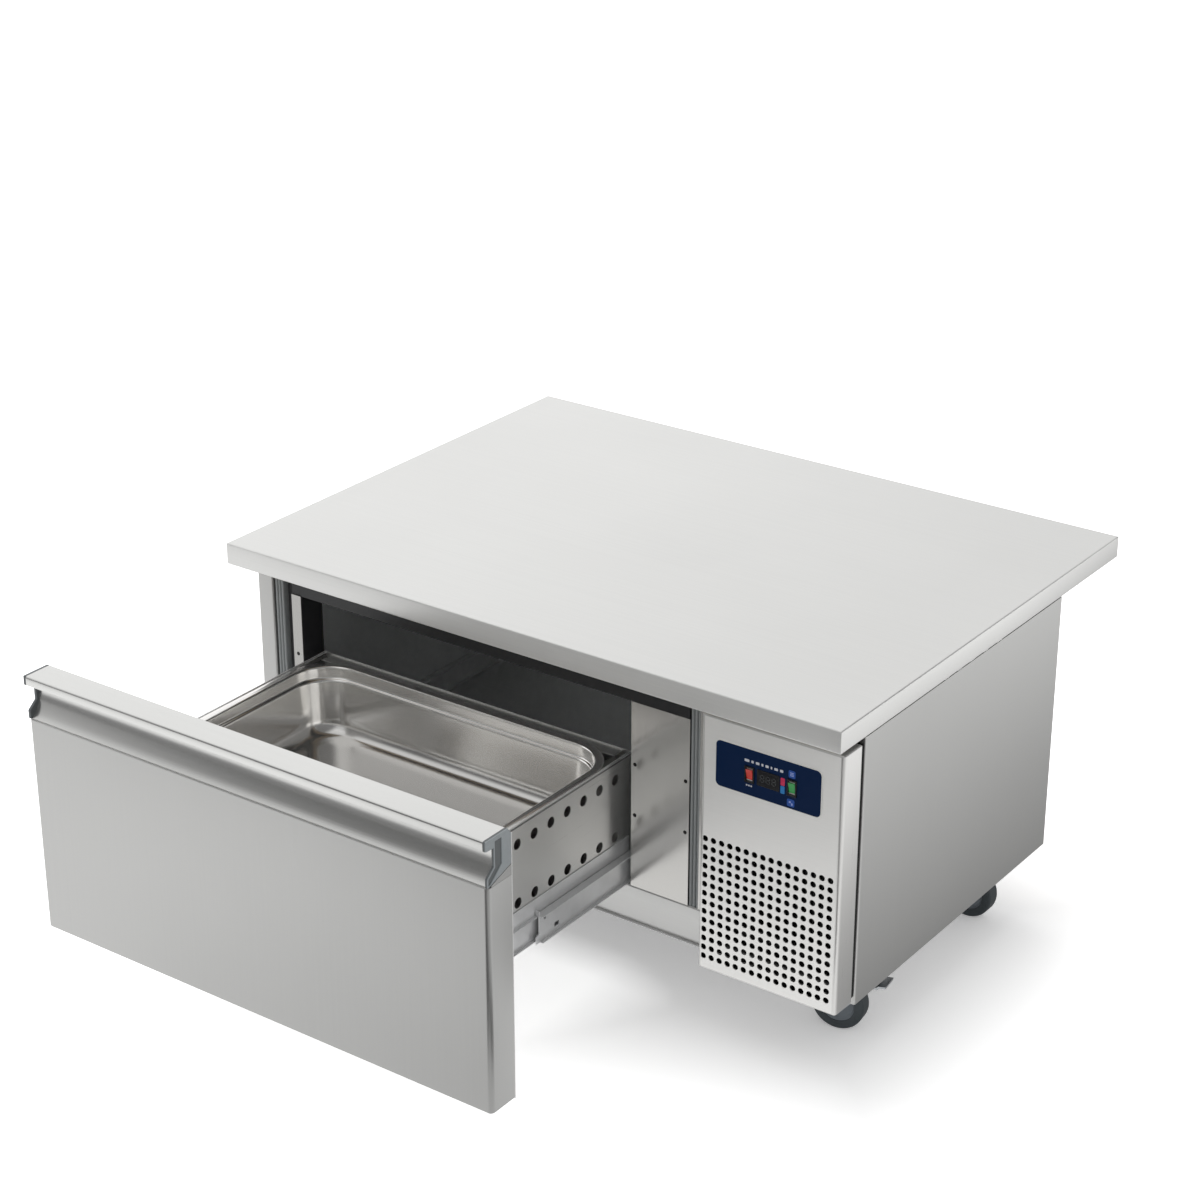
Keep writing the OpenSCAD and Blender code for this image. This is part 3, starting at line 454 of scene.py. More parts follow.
def drawn_out(name, outline, start, end, place, material, sharp=35):
    """An outline drawn out from start to end; place turns its two axes and the length into the frame."""
    build = bmesh.new()
    add_rings(build, [[place(p[0], p[1], w) for p in outline] for w in (start, end)])
    return as_piece(name, build, material, sharp)


def along_z(u, v, w):
    """A point of an outline that lies level and is drawn out upwards."""
    return (u, v, w)


def along_x(u, v, w):
    """A point of an outline that is seen from the side and is drawn out across."""
    return (w, u, v)


def along_y(u, v, w):
    """A point of an outline that is seen from the front and is drawn out to the back."""
    return (u, w, v)


cabinet_finish = steel("cabinet_brushed", (0.52, 0.52, 0.51), 0.33, "z", 0.02)
panel_sheet = 0.0012
panel_bend = 0.0022
left_low, left_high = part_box("side_panel_left")
right_low, right_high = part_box("side_panel_right")
half_sheet = panel_sheet / 2


def panel_line(outer_x, inner_x, low, high, return_depth):
    """The plan of a side panel, from the end of its return to its back edge."""
    toward = half_sheet if inner_x > outer_x else -half_sheet
    return [(inner_x - toward, low.y + return_depth), (inner_x - toward, low.y + half_sheet),
            (outer_x + toward, low.y + half_sheet), (outer_x + toward, high.y)]


for side, low, high, outer_x, inner_x, return_depth in (
        ("left", left_low, left_high, left_low.x, left_high.x, 0.015),
        ("right", right_low, right_high, right_high.x, right_low.x, 0.012)):
    outline = thickened(rounded_line(panel_line(outer_x, inner_x, low, high, return_depth),
                                     panel_bend), panel_sheet)
    panel = drawn_out("side_sheet_" + side, outline, low.z, high.z, along_z, cabinet_finish)
    fit(panel, "cabinet", "cabinet_steel", "side_panel_" + side)

# Back and base
# The back is a flat sheet with a row of air slots for the machine compartment and a line
# of cross-head screws round it. The base is a galvanized sheet. Foam boards fill the walls.
dress(steel("back_brushed", (0.52, 0.52, 0.51), 0.36, "x", 0.02), "back_panel")
dress(plain("base_galvanized", (0.78, 0.78, 0.78), 0.55, 0.04, 45, 0.25, 0.05), "base_panel")
dress(plain("foam_board", (0.80, 0.74, 0.52), 0.85, 0.05, 90, 0, 0.3), "insulation")


def lathe(name, profile, material, steps=24):
    """A round piece about z through zero, from radius and height pairs."""
    build = bmesh.new()
    rings = []
    for radius, height in profile:
        rings.append([(radius * math.cos(2 * math.pi * k / steps),
                       radius * math.sin(2 * math.pi * k / steps), height) for k in range(steps)])
    add_rings(build, rings)
    return as_piece(name, build, material)


def tree_with_inputs(name, sockets):
    """An empty geometry tree with named inputs and a geometry output."""
    tree = bpy.data.node_groups.new(name, "GeometryNodeTree")
    tree.interface.new_socket(name="Geometry", in_out="INPUT", socket_type="NodeSocketGeometry")
    for socket, kind in sockets:
        tree.interface.new_socket(name=socket, in_out="INPUT", socket_type="NodeSocket" + kind)
    tree.interface.new_socket(name="Geometry", in_out="OUTPUT", socket_type="NodeSocketGeometry")
    return tree


def made_by(tree, name, mesh, values, turn=None):
    """A plain mesh piece that a geometry tree makes from a mesh and named values."""
    maker = bpy.data.objects.new(name, mesh)
    scene.collection.objects.link(maker)
    modifier = maker.modifiers.new("make", "NODES")
    modifier.node_group = tree
    for socket in tree.interface.items_tree:
        if socket.in_out == "INPUT" and socket.name in values:
            modifier[socket.identifier] = values[socket.name]
    bpy.context.view_layer.update()
    made = maker.evaluated_get(bpy.context.evaluated_depsgraph_get())
    result = bpy.data.meshes.new_from_object(made)
    maker.modifiers.remove(modifier)
    maker.data = result
    if turn is not None:
        result.transform(turn)
    return maker


# One tree sets a fastener on each point of a mesh.
fastener_tree = tree_with_inputs("fasteners", [("Fastener", "Object"), ("Turn", "Rotation"),
                                               ("Finish", "Material")])
fastener_in = node(fastener_tree, "NodeGroupInput")
fastener_shape = node(fastener_tree, "GeometryNodeObjectInfo")
fastener_copies = node(fastener_tree, "GeometryNodeInstanceOnPoints")
fastener_real = node(fastener_tree, "GeometryNodeRealizeInstances")
fastener_finish = node(fastener_tree, "GeometryNodeSetMaterial")
wire(fastener_tree, (fastener_in, "Fastener", fastener_shape, "Object"),
     (fastener_in, "Geometry", fastener_copies, "Points"),
     (fastener_shape, "Geometry", fastener_copies, "Instance"),
     (fastener_in, "Turn", fastener_copies, "Rotation"),
     (fastener_copies, 0, fastener_real, 0), (fastener_real, 0, fastener_finish, "Geometry"),
     (fastener_in, "Finish", fastener_finish, "Material"),
     (fastener_finish, 0, node(fastener_tree, "NodeGroupOutput"), 0))


def fasteners(name, pattern_piece, places, turn, material):
    """Copies of a fastener at places, all turned alike."""
    mesh = bpy.data.meshes.new(name)
    mesh.from_pydata([tuple(p) for p in places], [], [])
    mesh.materials.append(material)
    return made_by(fastener_tree, name, mesh,
                   {"Fastener": pattern_piece, "Turn": turn, "Finish": material})


bright_zinc = plain("bright_zinc", (0.58, 0.59, 0.60), 0.30, 0.04, 70, 1, 0.05)
head_r = 0.0038
back_low, back_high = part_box("back_panel")
pan_head = lathe("pan_head", [(head_r, 0), (head_r, 0.0009), (0.86 * head_r, 0.0017),
                              (0.55 * head_r, 0.0022), (0.3 * head_r, 0.0022),
                              (0.2 * head_r, 0.0014), (0.05 * head_r, 0.0014)], bright_zinc)
back_margin = 0.012
back_columns = 6
column_gap = (back_high.x - back_low.x - 2 * back_margin) / (back_columns - 1)
back_points = [(back_low.x + back_margin + k * column_gap, back_high.y, z)
               for k in range(back_columns) for z in (back_low.z + back_margin, back_high.z - back_margin)]
back_screws = fasteners("back_screws", pan_head, back_points, (-math.pi / 2, 0, 0), bright_zinc)
fit(back_screws, "cabinet", "zinc_steel")

# Cold space
# A folded steel box with coved corners, open at the front. At its right a perforated
# cover hides the coil and its fan, and slides run along both walls.
liner_finish = steel("liner_sheet", (0.84, 0.85, 0.85), 0.36, "x", 0.02)
cold_low, cold_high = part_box("inner_liner")
liner_sheet = 0.0008
liner_cove = 0.010
cold_middle = (cold_low + cold_high) / 2
liner_rings = []
for inset, y in ((0, cold_low.y), (0, cold_high.y), (liner_sheet, cold_high.y - liner_sheet),
                 (liner_sheet, cold_low.y)):
    ring = rounded_ring(cold_high.x - cold_low.x - 2 * inset, cold_high.z - cold_low.z - 2 * inset,
                        liner_cove)
    liner_rings.append([(cold_middle.x + u, y, cold_middle.z + v) for u, v in ring])
liner_build = bmesh.new()
outer_rows = add_rings(liner_build, liner_rings[:2], capped=False)
inner_rows = add_rings(liner_build, liner_rings[2:], capped=False)
liner_build.faces.new(outer_rows[1])
liner_build.faces.new(inner_rows[0])
join_rows(liner_build, outer_rows[0], inner_rows[1])
liner = as_piece("liner_box", liner_build, liner_finish)
fit(liner, "cabinet", "liner_steel", "inner_liner")
dress(liner_finish, "evaporator_cover")
fin_metal = plain("fin_metal", (0.58, 0.59, 0.60), 0.35, 0.04, 80, 1)
dress(fin_metal, "evaporator")
black_plastic = plain("black_plastic", (0.03, 0.03, 0.033), 0.5, 0.05, 300)
dress(black_plastic, "evaporator_fan", "control_box", "fan_shroud", "power_gland")

# Frame of the opening
# Black plastic bars part the cold lining from the warm front. Grey plastic strips with
# three ribs cover the posts, a black rail closes the top, and a folded sill the bottom.


def softened(name, cad_name, width, material, segments=2):
    """A copy of a CAD node as one joined mesh with its edges rounded."""
    build = bmesh.new()
    build.from_mesh(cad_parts[cad_name].data)
    bmesh.ops.remove_doubles(build, verts=build.verts, dist=0.000002)
    bmesh.ops.dissolve_limit(build, angle_limit=math.radians(0.3), verts=build.verts,
                             edges=build.edges)
    piece = as_piece(name, build, material)
    bevel = piece.modifiers.new("rounded_edges", "BEVEL")
    bevel.width = width
    bevel.segments = segments
    bevel.limit_method = "ANGLE"
    bevel.angle_limit = math.radians(30)
    bevel.harden_normals = True
    return piece


def refit(name, cad_name, width, material, body, slot, segments=2):
    """A softened CAD node, put in the place of the node itself."""
    fit(softened(name, cad_name, width, material, segments), body, slot, cad_name)


def shaded(material, share):
    """Multiplies a finish's colour by a share that is made from the Object coordinates' x, y and z."""
    tree = material.node_tree
    place = node(tree, "ShaderNodeSeparateXYZ")
    wire(tree, (node(tree, "ShaderNodeTexCoord"), "Object", place, 0))
    tint = tree.nodes["Principled BSDF"].inputs["Base Color"].links[0].from_node
    before = tint.inputs["Scale"].links[0].from_socket
    feed(tree, tint.inputs["Scale"], maths(tree, "MULTIPLY", before, share(tree, place.outputs)))
    return material


refit("breaker_bars", "breaker_frame", 0.0012, black_plastic, "cabinet", "dark_plastic")
refit("top_rail_bar", "top_rail", 0.0008, plain("rail_black", (0.012, 0.013, 0.015), 0.35),
      "cabinet", "rail_plastic")
grey_plastic = plain("grey_plastic", (0.36, 0.38, 0.385), 0.38, 0.03, 200)
strips_low, strips_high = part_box("post_strips")
strip_w = 0.0155
strip_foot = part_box("sill")[1].z + 0.0003
strip_front = strips_low.y
strip_edge = strip_front + 0.003
rib_r = 0.0022
rib_foot = strip_front + 0.004
for side, x in (("left", strips_low.x), ("right", strips_high.x - strip_w)):
    plan = [(x, strips_high.y), (x, strip_edge)]
    for centre in (x + rib_r, x + strip_w / 2, x + strip_w - rib_r):
        plan += [(centre + rib_r * math.cos(a), strip_front + rib_r - rib_r * math.sin(a))
                 for a in [math.pi - math.pi * k / 8 for k in range(9)]]
        if centre < x + strip_w - 1.5 * rib_r:
            plan += [(centre + rib_r + 0.0006, rib_foot), (centre + 2.1 * rib_r, rib_foot)]
    plan += [(x + strip_w, strips_high.y)]
    strip = drawn_out("post_strip_" + side, plan, strip_foot, strips_high.z, along_z, grey_plastic)
    fit(strip, "cabinet", "grey_plastic", "post_strips")

sill_low, sill_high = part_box("sill")
sill_return = 0.0075
sill_face = 0.018
sill_slope = 0.005
sill_line = [(sill_low.y + sill_return, sill_high.z - half_sheet),
             (sill_low.y + half_sheet, sill_high.z - half_sheet),
             (sill_low.y + half_sheet, sill_high.z - sill_face),
             (sill_low.y + sill_slope + half_sheet, sill_low.z)]
sill_outline = thickened(rounded_line(sill_line, panel_bend), panel_sheet)
# Right of this edge the technical panel hides the front's own sheets.
hidden_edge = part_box("tech_panel")[0].x + panel_sheet


def painted_shade_behind_panel(tree, at):
    """Full colour where the sheet shows, and painted shade, almost no colour, in the machine compartment.
    """
    return ranged(tree, at["X"], hidden_edge - 0.004, hidden_edge - 0.001, 1, 0.06)


# The sill has painted shade where it runs behind the technical panel.
sill_finish = shaded(steel("sill_brushed", (0.60, 0.60, 0.59), 0.34, "x", 0.02), painted_shade_behind_panel)
sill = drawn_out("sill_fold", sill_outline, sill_low.x, sill_high.x, along_x, sill_finish)
fit(sill, "cabinet", "cabinet_steel", "sill")

# Front plates
# Bright-annealed steel, almost a mirror. Black set screws with hexagon sockets sit a
# little below their faces; behind the wide plate is the evaporator.
plates_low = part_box("front_plates")[0]
narrow_plate_edge = plates_low.x + 0.03


def plate_painted_shade(tree, at):
    """The narrow plate's reflection is dimmed by painted shade, and the wide plate has it behind the panel.
    """
    narrow = ranged(tree, at["X"], narrow_plate_edge, narrow_plate_edge + 0.01, 0.70, 1)
    return maths(tree, "MULTIPLY", painted_shade_behind_panel(tree, at), narrow)


# Painted shade dims the narrow plate, and the wide plate behind the technical panel.
mirror_finish = shaded(steel("bright_annealed", (0.62, 0.61, 0.59), 0.20, "z", 0.01, 300, 0), plate_painted_shade)
plates = softened("front_plates_bright", "front_plates", 0.0004, mirror_finish)
# The wide plate is cut off at the edge that the technical panel hides.
for point in plates.data.vertices:
    point.co.x = min(point.co.x, hidden_edge)
fit(plates, "cabinet", "polished_steel", "front_plates")
screw_black = plain("screw_black", (0.03, 0.03, 0.03), 0.3, 0.03, 200, 1)
dress(screw_black, "body_screws")
ring_r = 0.0028
ring_in = 0.0013
ring_rise = 0.0002
screw_ring = lathe("screw_ring", [(ring_in, -ring_rise), (ring_r, -ring_rise), (ring_r, ring_rise / 2),
                                  (ring_r - 0.0003, ring_rise), (ring_in, ring_rise)], screw_black)
# The set screws' places, from the worktop's left end and from its top
screw_columns = [cad_low.x + 0.071, cad_low.x + 0.656, cad_low.x + 0.736]
screw_rows = [cad_high.z - 0.174, cad_high.z - 0.249]
screw_places = [(x, plates_low.y, z) for x in screw_columns for z in screw_rows]
screw_rings = fasteners("set_screw_rings", screw_ring, screw_places, (math.pi / 2, 0, 0), screw_black)
fit(screw_rings, "cabinet", "zinc_steel")

# Technical panel
# A tray folded from one stainless sheet. Its lower part is punched with rows of round
# holes that let air in to the condenser, and it hangs on the body by four tabs.

# One tree punches a grid of rounded holes in a sheet.
punch_sockets = [("Width", "Float"), ("Height", "Float"), ("Sheet", "Float"), ("Columns", "Int"),
                 ("Rows", "Int"), ("Pitch across", "Float"), ("Pitch up", "Float"),
                 ("Middle across", "Float"), ("Middle up", "Float"), ("Hole width", "Float"),
                 ("Hole height", "Float"), ("Hole corner", "Float"), ("Finish", "Material")]
punch_tree = tree_with_inputs("punched_sheet", punch_sockets)
punch_in = node(punch_tree, "NodeGroupInput")
outer_edge = node(punch_tree, "GeometryNodeCurvePrimitiveQuadrilateral", mode="RECTANGLE")
hole_edge = node(punch_tree, "GeometryNodeCurvePrimitiveQuadrilateral", mode="RECTANGLE")
hole_round = node(punch_tree, "GeometryNodeFilletCurve", mode="POLY")
hole_round.inputs["Count"].default_value = 6
hole_round.inputs["Limit Radius"].default_value = True
grid = node(punch_tree, "GeometryNodeMeshGrid")
grid_move = node(punch_tree, "GeometryNodeTransform")
grid_place = node(punch_tree, "ShaderNodeCombineXYZ")
all_holes = node(punch_tree, "GeometryNodeInstanceOnPoints")
holes_real = node(punch_tree, "GeometryNodeRealizeInstances")
edges = node(punch_tree, "GeometryNodeJoinGeometry")
punched = node(punch_tree, "GeometryNodeFillCurve")
thick = node(punch_tree, "GeometryNodeExtrudeMesh")
thick.inputs["Individual"].default_value = False
under = node(punch_tree, "GeometryNodeFlipFaces")
whole = node(punch_tree, "GeometryNodeJoinGeometry")
merged = node(punch_tree, "GeometryNodeMergeByDistance")
merged.inputs["Distance"].default_value = 0.00001
punch_real = node(punch_tree, "GeometryNodeRealizeInstances")
punch_finish = node(punch_tree, "GeometryNodeSetMaterial")
wire(punch_tree, (punch_in, "Width", outer_edge, "Width"), (punch_in, "Height", outer_edge, "Height"),
     (punch_in, "Hole width", hole_edge, "Width"), (punch_in, "Hole height", hole_edge, "Height"),
     (hole_edge, 0, hole_round, "Curve"), (punch_in, "Hole corner", hole_round, "Radius"),
     (punch_in, "Columns", grid, "Vertices X"), (punch_in, "Rows", grid, "Vertices Y"))
for socket, pitch, count in (("Size X", "Pitch across", "Columns"), ("Size Y", "Pitch up", "Rows")):
    gaps = maths(punch_tree, "SUBTRACT", punch_in.outputs[count], 1)
    feed(punch_tree, grid.inputs[socket], maths(punch_tree, "MULTIPLY", punch_in.outputs[pitch], gaps))
wire(punch_tree, (punch_in, "Middle across", grid_place, "X"), (punch_in, "Middle up", grid_place, "Y"),
     (grid, "Mesh", grid_move, "Geometry"), (grid_place, 0, grid_move, "Translation"),
     (grid_move, 0, all_holes, "Points"), (hole_round, 0, all_holes, "Instance"),
     (all_holes, 0, holes_real, 0), (holes_real, 0, edges, 0), (outer_edge, 0, edges, 0),
     (edges, 0, punched, "Curve"), (punched, 0, thick, "Mesh"), (punch_in, "Sheet", thick, "Offset Scale"),
     (punched, 0, under, 0), (thick, "Mesh", whole, 0), (under, 0, whole, 0), (whole, 0, merged, 0),
     (merged, 0, punch_real, 0), (punch_real, 0, punch_finish, "Geometry"),
     (punch_in, "Finish", punch_finish, "Material"),
     (punch_finish, 0, node(punch_tree, "NodeGroupOutput"), 0))


def punched_sheet(name, turn, hole, **values):
    """A sheet with a grid of round holes, lying in x and y about zero, then turned into place."""
    named = {key.replace("_", " ").capitalize(): value for key, value in values.items()}
    named.update({"Hole width": hole, "Hole height": hole, "Hole corner": 0.49 * hole})
    return made_by(punch_tree, name, bpy.data.meshes.new(name), named, turn)


def band(name, rings, material):
    """A closed band, with faces between its rings and from the last ring back to the first."""
    build = bmesh.new()
    rows = add_rings(build, rings, capped=False)
    join_rows(build, rows[0], rows[-1])
    return as_piece(name, build, material)


def off_middle(tree, place, low, high):
    """How far a place is from the middle between two others."""
    return maths(tree, "ABSOLUTE", maths(tree, "SUBTRACT", place, (low + high) / 2), 0)


def joined(name, material, *pieces):
    """One piece of several, with their meshes put together."""
    build = bmesh.new()
    for piece in pieces:
        build.from_mesh(piece.data)
        bpy.data.objects.remove(piece)
    return as_piece(name, build, material)


tech_finish = steel("tech_brushed", (0.94, 0.935, 0.915), 0.38, "x", 0.02, metal=0.56)
tech_low, tech_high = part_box("tech_panel")
tech_size = (tech_high.x - tech_low.x, tech_high.z - tech_low.z)
tech_middle = (tech_low + tech_high) / 2
tech_bends = (0.0055, 0.0025)
tech_sheet = 0.0012
tech_groove = 0.0095
tech_depth = tech_high.y - tech_low.y - tech_groove


def painted_shade_inside_rim(tree, at):
    """Full colour on the rim's outside and front, and painted shade, almost no colour, on its inside."""
    beyond = -0.001
    for axis, low, high in (("X", tech_low.x, tech_high.x), ("Z", tech_low.z, tech_high.z)):
        wall_middle = (high - low - tech_sheet) / 2
        off_wall = maths(tree, "SUBTRACT", off_middle(tree, at[axis], low, high), wall_middle)
        beyond = maths(tree, "MAXIMUM", beyond, off_wall)
    outside = ranged(tree, beyond, -0.0003, 0.0003, 0.08, 1)
    near_face = ranged(tree, at["Y"], tech_low.y + 0.006, tech_low.y + 0.007, 1, 0)
    return maths(tree, "MAXIMUM", outside, near_face)


# The rim is the face's own sheet, given a darker colour as painted shade on its sides.
tech_rim_painted_shade_finish = shaded(steel("tech_rim_brushed_painted_shade", (0.72, 0.715, 0.70), 0.30, "z", 0.02),
                         painted_shade_inside_rim)
grille_columns, grille_rows = 16, 14
grille_pitch_x, grille_pitch_z = 0.0124, 0.0133
grille_hole = 0.0085
grille_left = tech_low.x + 0.009
grille_top = cad_high.z - 0.215


def tech_place(u, v, drop):
    """A point across and up from the panel's middle, and behind its face."""
    return (tech_middle.x + u, tech_low.y + drop, tech_middle.z + v)


rim_build = bmesh.new()
add_rings(rim_build, tray_rings(tech_size, tech_depth, tech_bends, tech_sheet, tech_place),
          capped=False)
tech_rim = as_piece("tech_panel_rim", rim_build, tech_rim_painted_shade_finish)
facing_front = Matrix.Translation((tech_middle.x, tech_low.y + tech_sheet, tech_middle.z)) @ \
    Matrix.Rotation(math.pi / 2, 4, "X")
tech_face = punched_sheet("tech_panel_face", facing_front, grille_hole,
                          width=tech_size[0] - 2 * tech_bends[0],
                          height=tech_size[1] - 2 * tech_bends[1], sheet=tech_sheet,
                          columns=grille_columns, rows=grille_rows,
                          pitch_across=grille_pitch_x, pitch_up=grille_pitch_z,
                          middle_across=grille_left + grille_pitch_x * (grille_columns - 1) / 2
                          - tech_middle.x,
                          middle_up=grille_top - grille_pitch_z * (grille_rows - 1) / 2
                          - tech_middle.z, finish=tech_finish)
for piece in (tech_rim, tech_face):
    fit(piece, "cabinet", "cabinet_steel", "tech_panel")

# A black foam seal behind the rim closes the groove against the body. Its black also
# stands in for the groove's shade, as painted shade.
seal_front = tech_depth - 0.001
seal_back = tech_depth + tech_groove - 0.0002
seal_outer, seal_inner = 0.003, 0.007
seal_rings = []
for inset, drop in ((seal_outer, seal_front), (seal_outer, seal_back), (seal_inner, seal_back),
                    (seal_inner, seal_front)):
    ring = rounded_ring(tech_size[0] - 2 * inset, tech_size[1] - 2 * inset, 0.001, 2)
    seal_rings.append([tech_place(u, v, drop) for u, v in ring])
panel_seal = band("tech_panel_seal", seal_rings, plain("seal_black", (0.012, 0.012, 0.013), 0.8, 0.04, 300))
fit(panel_seal, "cabinet", "gasket_rubber")

# Control plate
# A navy film on a plate with round corners and a pale edge, with windows for a black
# display and two rocker switches. Small plain marks and a two-colour lamp are beside them.
navy = plain("navy_film", (0.0, 0.013, 0.058), 0.45, 0.01, 400)
navy.node_tree.nodes["Principled BSDF"].inputs["Specular IOR Level"].default_value = 0.12
refit("navy_plate", "control_plate", 0.0004, navy, "cabinet", "navy_film")
black_gloss = plain("black_gloss", (0.01, 0.01, 0.012), 0.12, 0.01, 200)
refit("display_lens", "display", 0.0005, black_gloss, "cabinet", "black_gloss")
refit("switch_bezels", "switch_frames", 0.0003, black_gloss, "cabinet", "black_gloss")
for colour_name, colour in (("red", (0.66, 0.022, 0.006)), ("green", (0.015, 0.34, 0.06))):
    rocker_finish = plain(colour_name + "_lamp", colour, 0.30, 0.02, 200)
    refit(colour_name + "_rocker_cap", colour_name + "_switch", 0.0006, rocker_finish,
          colour_name + "_rocker", colour_name + "_plastic")

plate_low, plate_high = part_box("control_plate")
plate_w = plate_high.x - plate_low.x
plate_h = plate_high.z - plate_low.z
plate_corner = 0.007
plate_x = (plate_low.x + plate_high.x) / 2
plate_z = (plate_low.z + plate_high.z) / 2
edge_w = 0.0009
edge_rings = []
for spread, y in ((edge_w, plate_high.y), (edge_w, plate_low.y + 0.0001), (0, plate_low.y - 0.0001),
                  (0, plate_high.y)):
    ring = rounded_ring(plate_w + 2 * spread, plate_h + 2 * spread, plate_corner + spread)
    edge_rings.append([(plate_x + u, y, plate_z + v) for u, v in ring])
plate_edge = band("plate_edge", edge_rings, plain("plate_edge_pale", (0.78, 0.78, 0.76), 0.4, 0.01, 300))
fit(plate_edge, "cabinet", "pale_plastic")


def printed(name, spots, face, slot, finish):
    """Thin raised spots on a face, each given by its left, right, low and high edge."""
    build = bmesh.new()
    for x0, x1, z0, z1 in spots:
        corner = 0.2 * min(x1 - x0, z1 - z0)
        ring = rounded_ring(x1 - x0, z1 - z0, corner, 3)
        add_rings(build, [[((x0 + x1) / 2 + u, y, (z0 + z1) / 2 + v) for u, v in ring]
                          for y in (face, face - 0.00012)])
    fit(as_piece(name, build, finish), "cabinet", slot)


def on_plate(middle, height, width, tall):
    """A spot given by shares of the plate: its middle across and down, its width and height."""
    x = plate_low.x + middle * plate_w
    z = plate_high.z - height * plate_h
    half_w = width * plate_w / 2
    half_h = tall * plate_h / 2
    return (x - half_w, x + half_w, z - half_h, z + half_h)


plate_face = plate_low.y
white_print = plain("white_print", (0.62, 0.63, 0.68), 0.4, 0.01, 300)
bar_widths = (0.045, 0.022, 0.034, 0.018, 0.030, 0.014, 0.034, 0.030)
bars = []
reach = 0.275
for width in bar_widths:
    bars.append(on_plate(reach + width / 2, 0.255, width, 0.055))
    reach += width + 0.020
under_bars = [on_plate(0.30 + 0.022 * k, 0.79, 0.014, 0.035) for k in range(3)]
icon_lines = [on_plate(0.725, 0.255 + 0.03 * k, 0.036, 0.016) for k in (-1, 0, 1)]
icon_dots = [on_plate(0.712, 0.86, 0.018, 0.04), on_plate(0.732, 0.90, 0.014, 0.05)]
blue_fields = [on_plate(0.725, 0.255, 0.064, 0.16), on_plate(0.720, 0.875, 0.070, 0.16)]
printed("plate_bars", bars + under_bars, plate_face, "pale_plastic", white_print)
printed("plate_fields", blue_fields, plate_face, "navy_film",
        plain("blue_print", (0.010, 0.075, 0.36), 0.4, 0.01, 300))
printed("plate_icons", icon_lines + icon_dots, plate_face - 0.00011, "pale_plastic",
        plain("pale_blue_print", (0.30, 0.38, 0.72), 0.4, 0.01, 300))
printed("lamp_hot", [on_plate(0.640, 0.475, 0.040, 0.165)], plate_face, "red_plastic",
        plain("hot_lamp", (0.60, 0.03, 0.10), 0.25, 0.01, 300))
printed("lamp_cold", [on_plate(0.640, 0.650, 0.040, 0.165)], plate_face, "navy_film",
        plain("cold_lamp", (0.02, 0.20, 0.50), 0.25, 0.01, 300))

# Unlit segments of three digits behind the display's window
lens_low, lens_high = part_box("display")
digit_w = 0.0052
digit_h = 0.0092
bar_w = 0.0009
upright_h = 0.36 * digit_h
digit_z = (lens_low.z + lens_high.z) / 2
segments = []
for place_share in (0.24, 0.50, 0.76):
    x = lens_low.x + place_share * (lens_high.x - lens_low.x)
    for level in (-0.5, 0, 0.5):
        z = digit_z + level * digit_h
        segments.append((x - digit_w / 2 + bar_w, x + digit_w / 2 - bar_w, z - bar_w / 2, z + bar_w / 2))
    for sx in (-0.5, 0.5):
        for level in (-0.25, 0.25):
            middle = x + sx * digit_w
            z = digit_z + level * digit_h
            segments.append((middle - bar_w / 2, middle + bar_w / 2, z - upright_h / 2, z + upright_h / 2))
printed("display_segments", segments, lens_low.y, "black_gloss",
        plain("unlit_segment", (0.055, 0.060, 0.062), 0.3, 0.01, 300))

# Cooling unit
# The compressor, the condenser with its fan, the drip tray and the copper lines stand on
# a galvanized tray behind the technical panel.
# The condenser's fins are black-painted, and their black also stands in for the shade behind the grille.
dress(plain("black_enamel", (0.02, 0.02, 0.022), 0.3, 0.03, 150), "compressor", "condenser")
dress(plain("fan_grey", (0.06, 0.07, 0.075), 0.4), "condenser_fan")
dress(plain("galvanized", (0.50, 0.51, 0.52), 0.42, 0.05, 45, 1, 0.05), "unit_base", "drip_tray")
dress(plain("copper_line", (0.72, 0.33, 0.16), 0.28, 0.04, 90, 1), "refrigerant_pipes")

# Castors
# Zinc-plated forks under bolted plates. The wheels have grey-blue plastic hubs in dark
# rubber tyres, and the front pair has brake pedals.
castor_zinc = plain("castor_zinc", (0.52, 0.54, 0.56), 0.30, 0.05, 60, 1, 0.06)
refit("castor_top_plates", "castor_plates", 0.0006, castor_zinc, "cabinet", "zinc_steel")
hub_finish = plain("hub_grey_blue", (0.23, 0.26, 0.29), 0.35, 0.03, 150)
tyre_finish = plain("tyre_dark", (0.060, 0.074, 0.082), 0.45, 0.06, 250)
for corner in ("fl", "fr", "rl", "rr"):
    refit("fork_" + corner, "castor_fork_" + corner, 0.0005, castor_zinc, "castor_" + corner, "zinc_steel")
    refit("hub_" + corner, "wheel_hub_" + corner, 0.0006, hub_finish, "wheel_" + corner, "hub_plastic")
    dress(tyre_finish, "tyre_" + corner)
for corner in ("fl", "fr"):
    refit("pedal_" + corner, "brake_pedal_" + corner, 0.0005, castor_zinc, "brake_" + corner, "zinc_steel")

# Drawer front
# A tray of brushed sheet with foam behind it and a flat inner skin. The handle profile
# runs along its top: a lip over a finger recess, closed by a plastic cap at each end.
front_low, front_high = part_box("drawer_front")
front_bend = 0.0065
front_sheet = 0.0012


def painted_shade_on_sides(tree, at):
    """The front's folded sides have painted shade, darker than its brushed face."""
    off = off_middle(tree, at["X"], front_low.x, front_high.x)
    half = (front_high.x - front_low.x) / 2
    return ranged(tree, off, half - front_bend, half - 0.001, 1, 0.78)


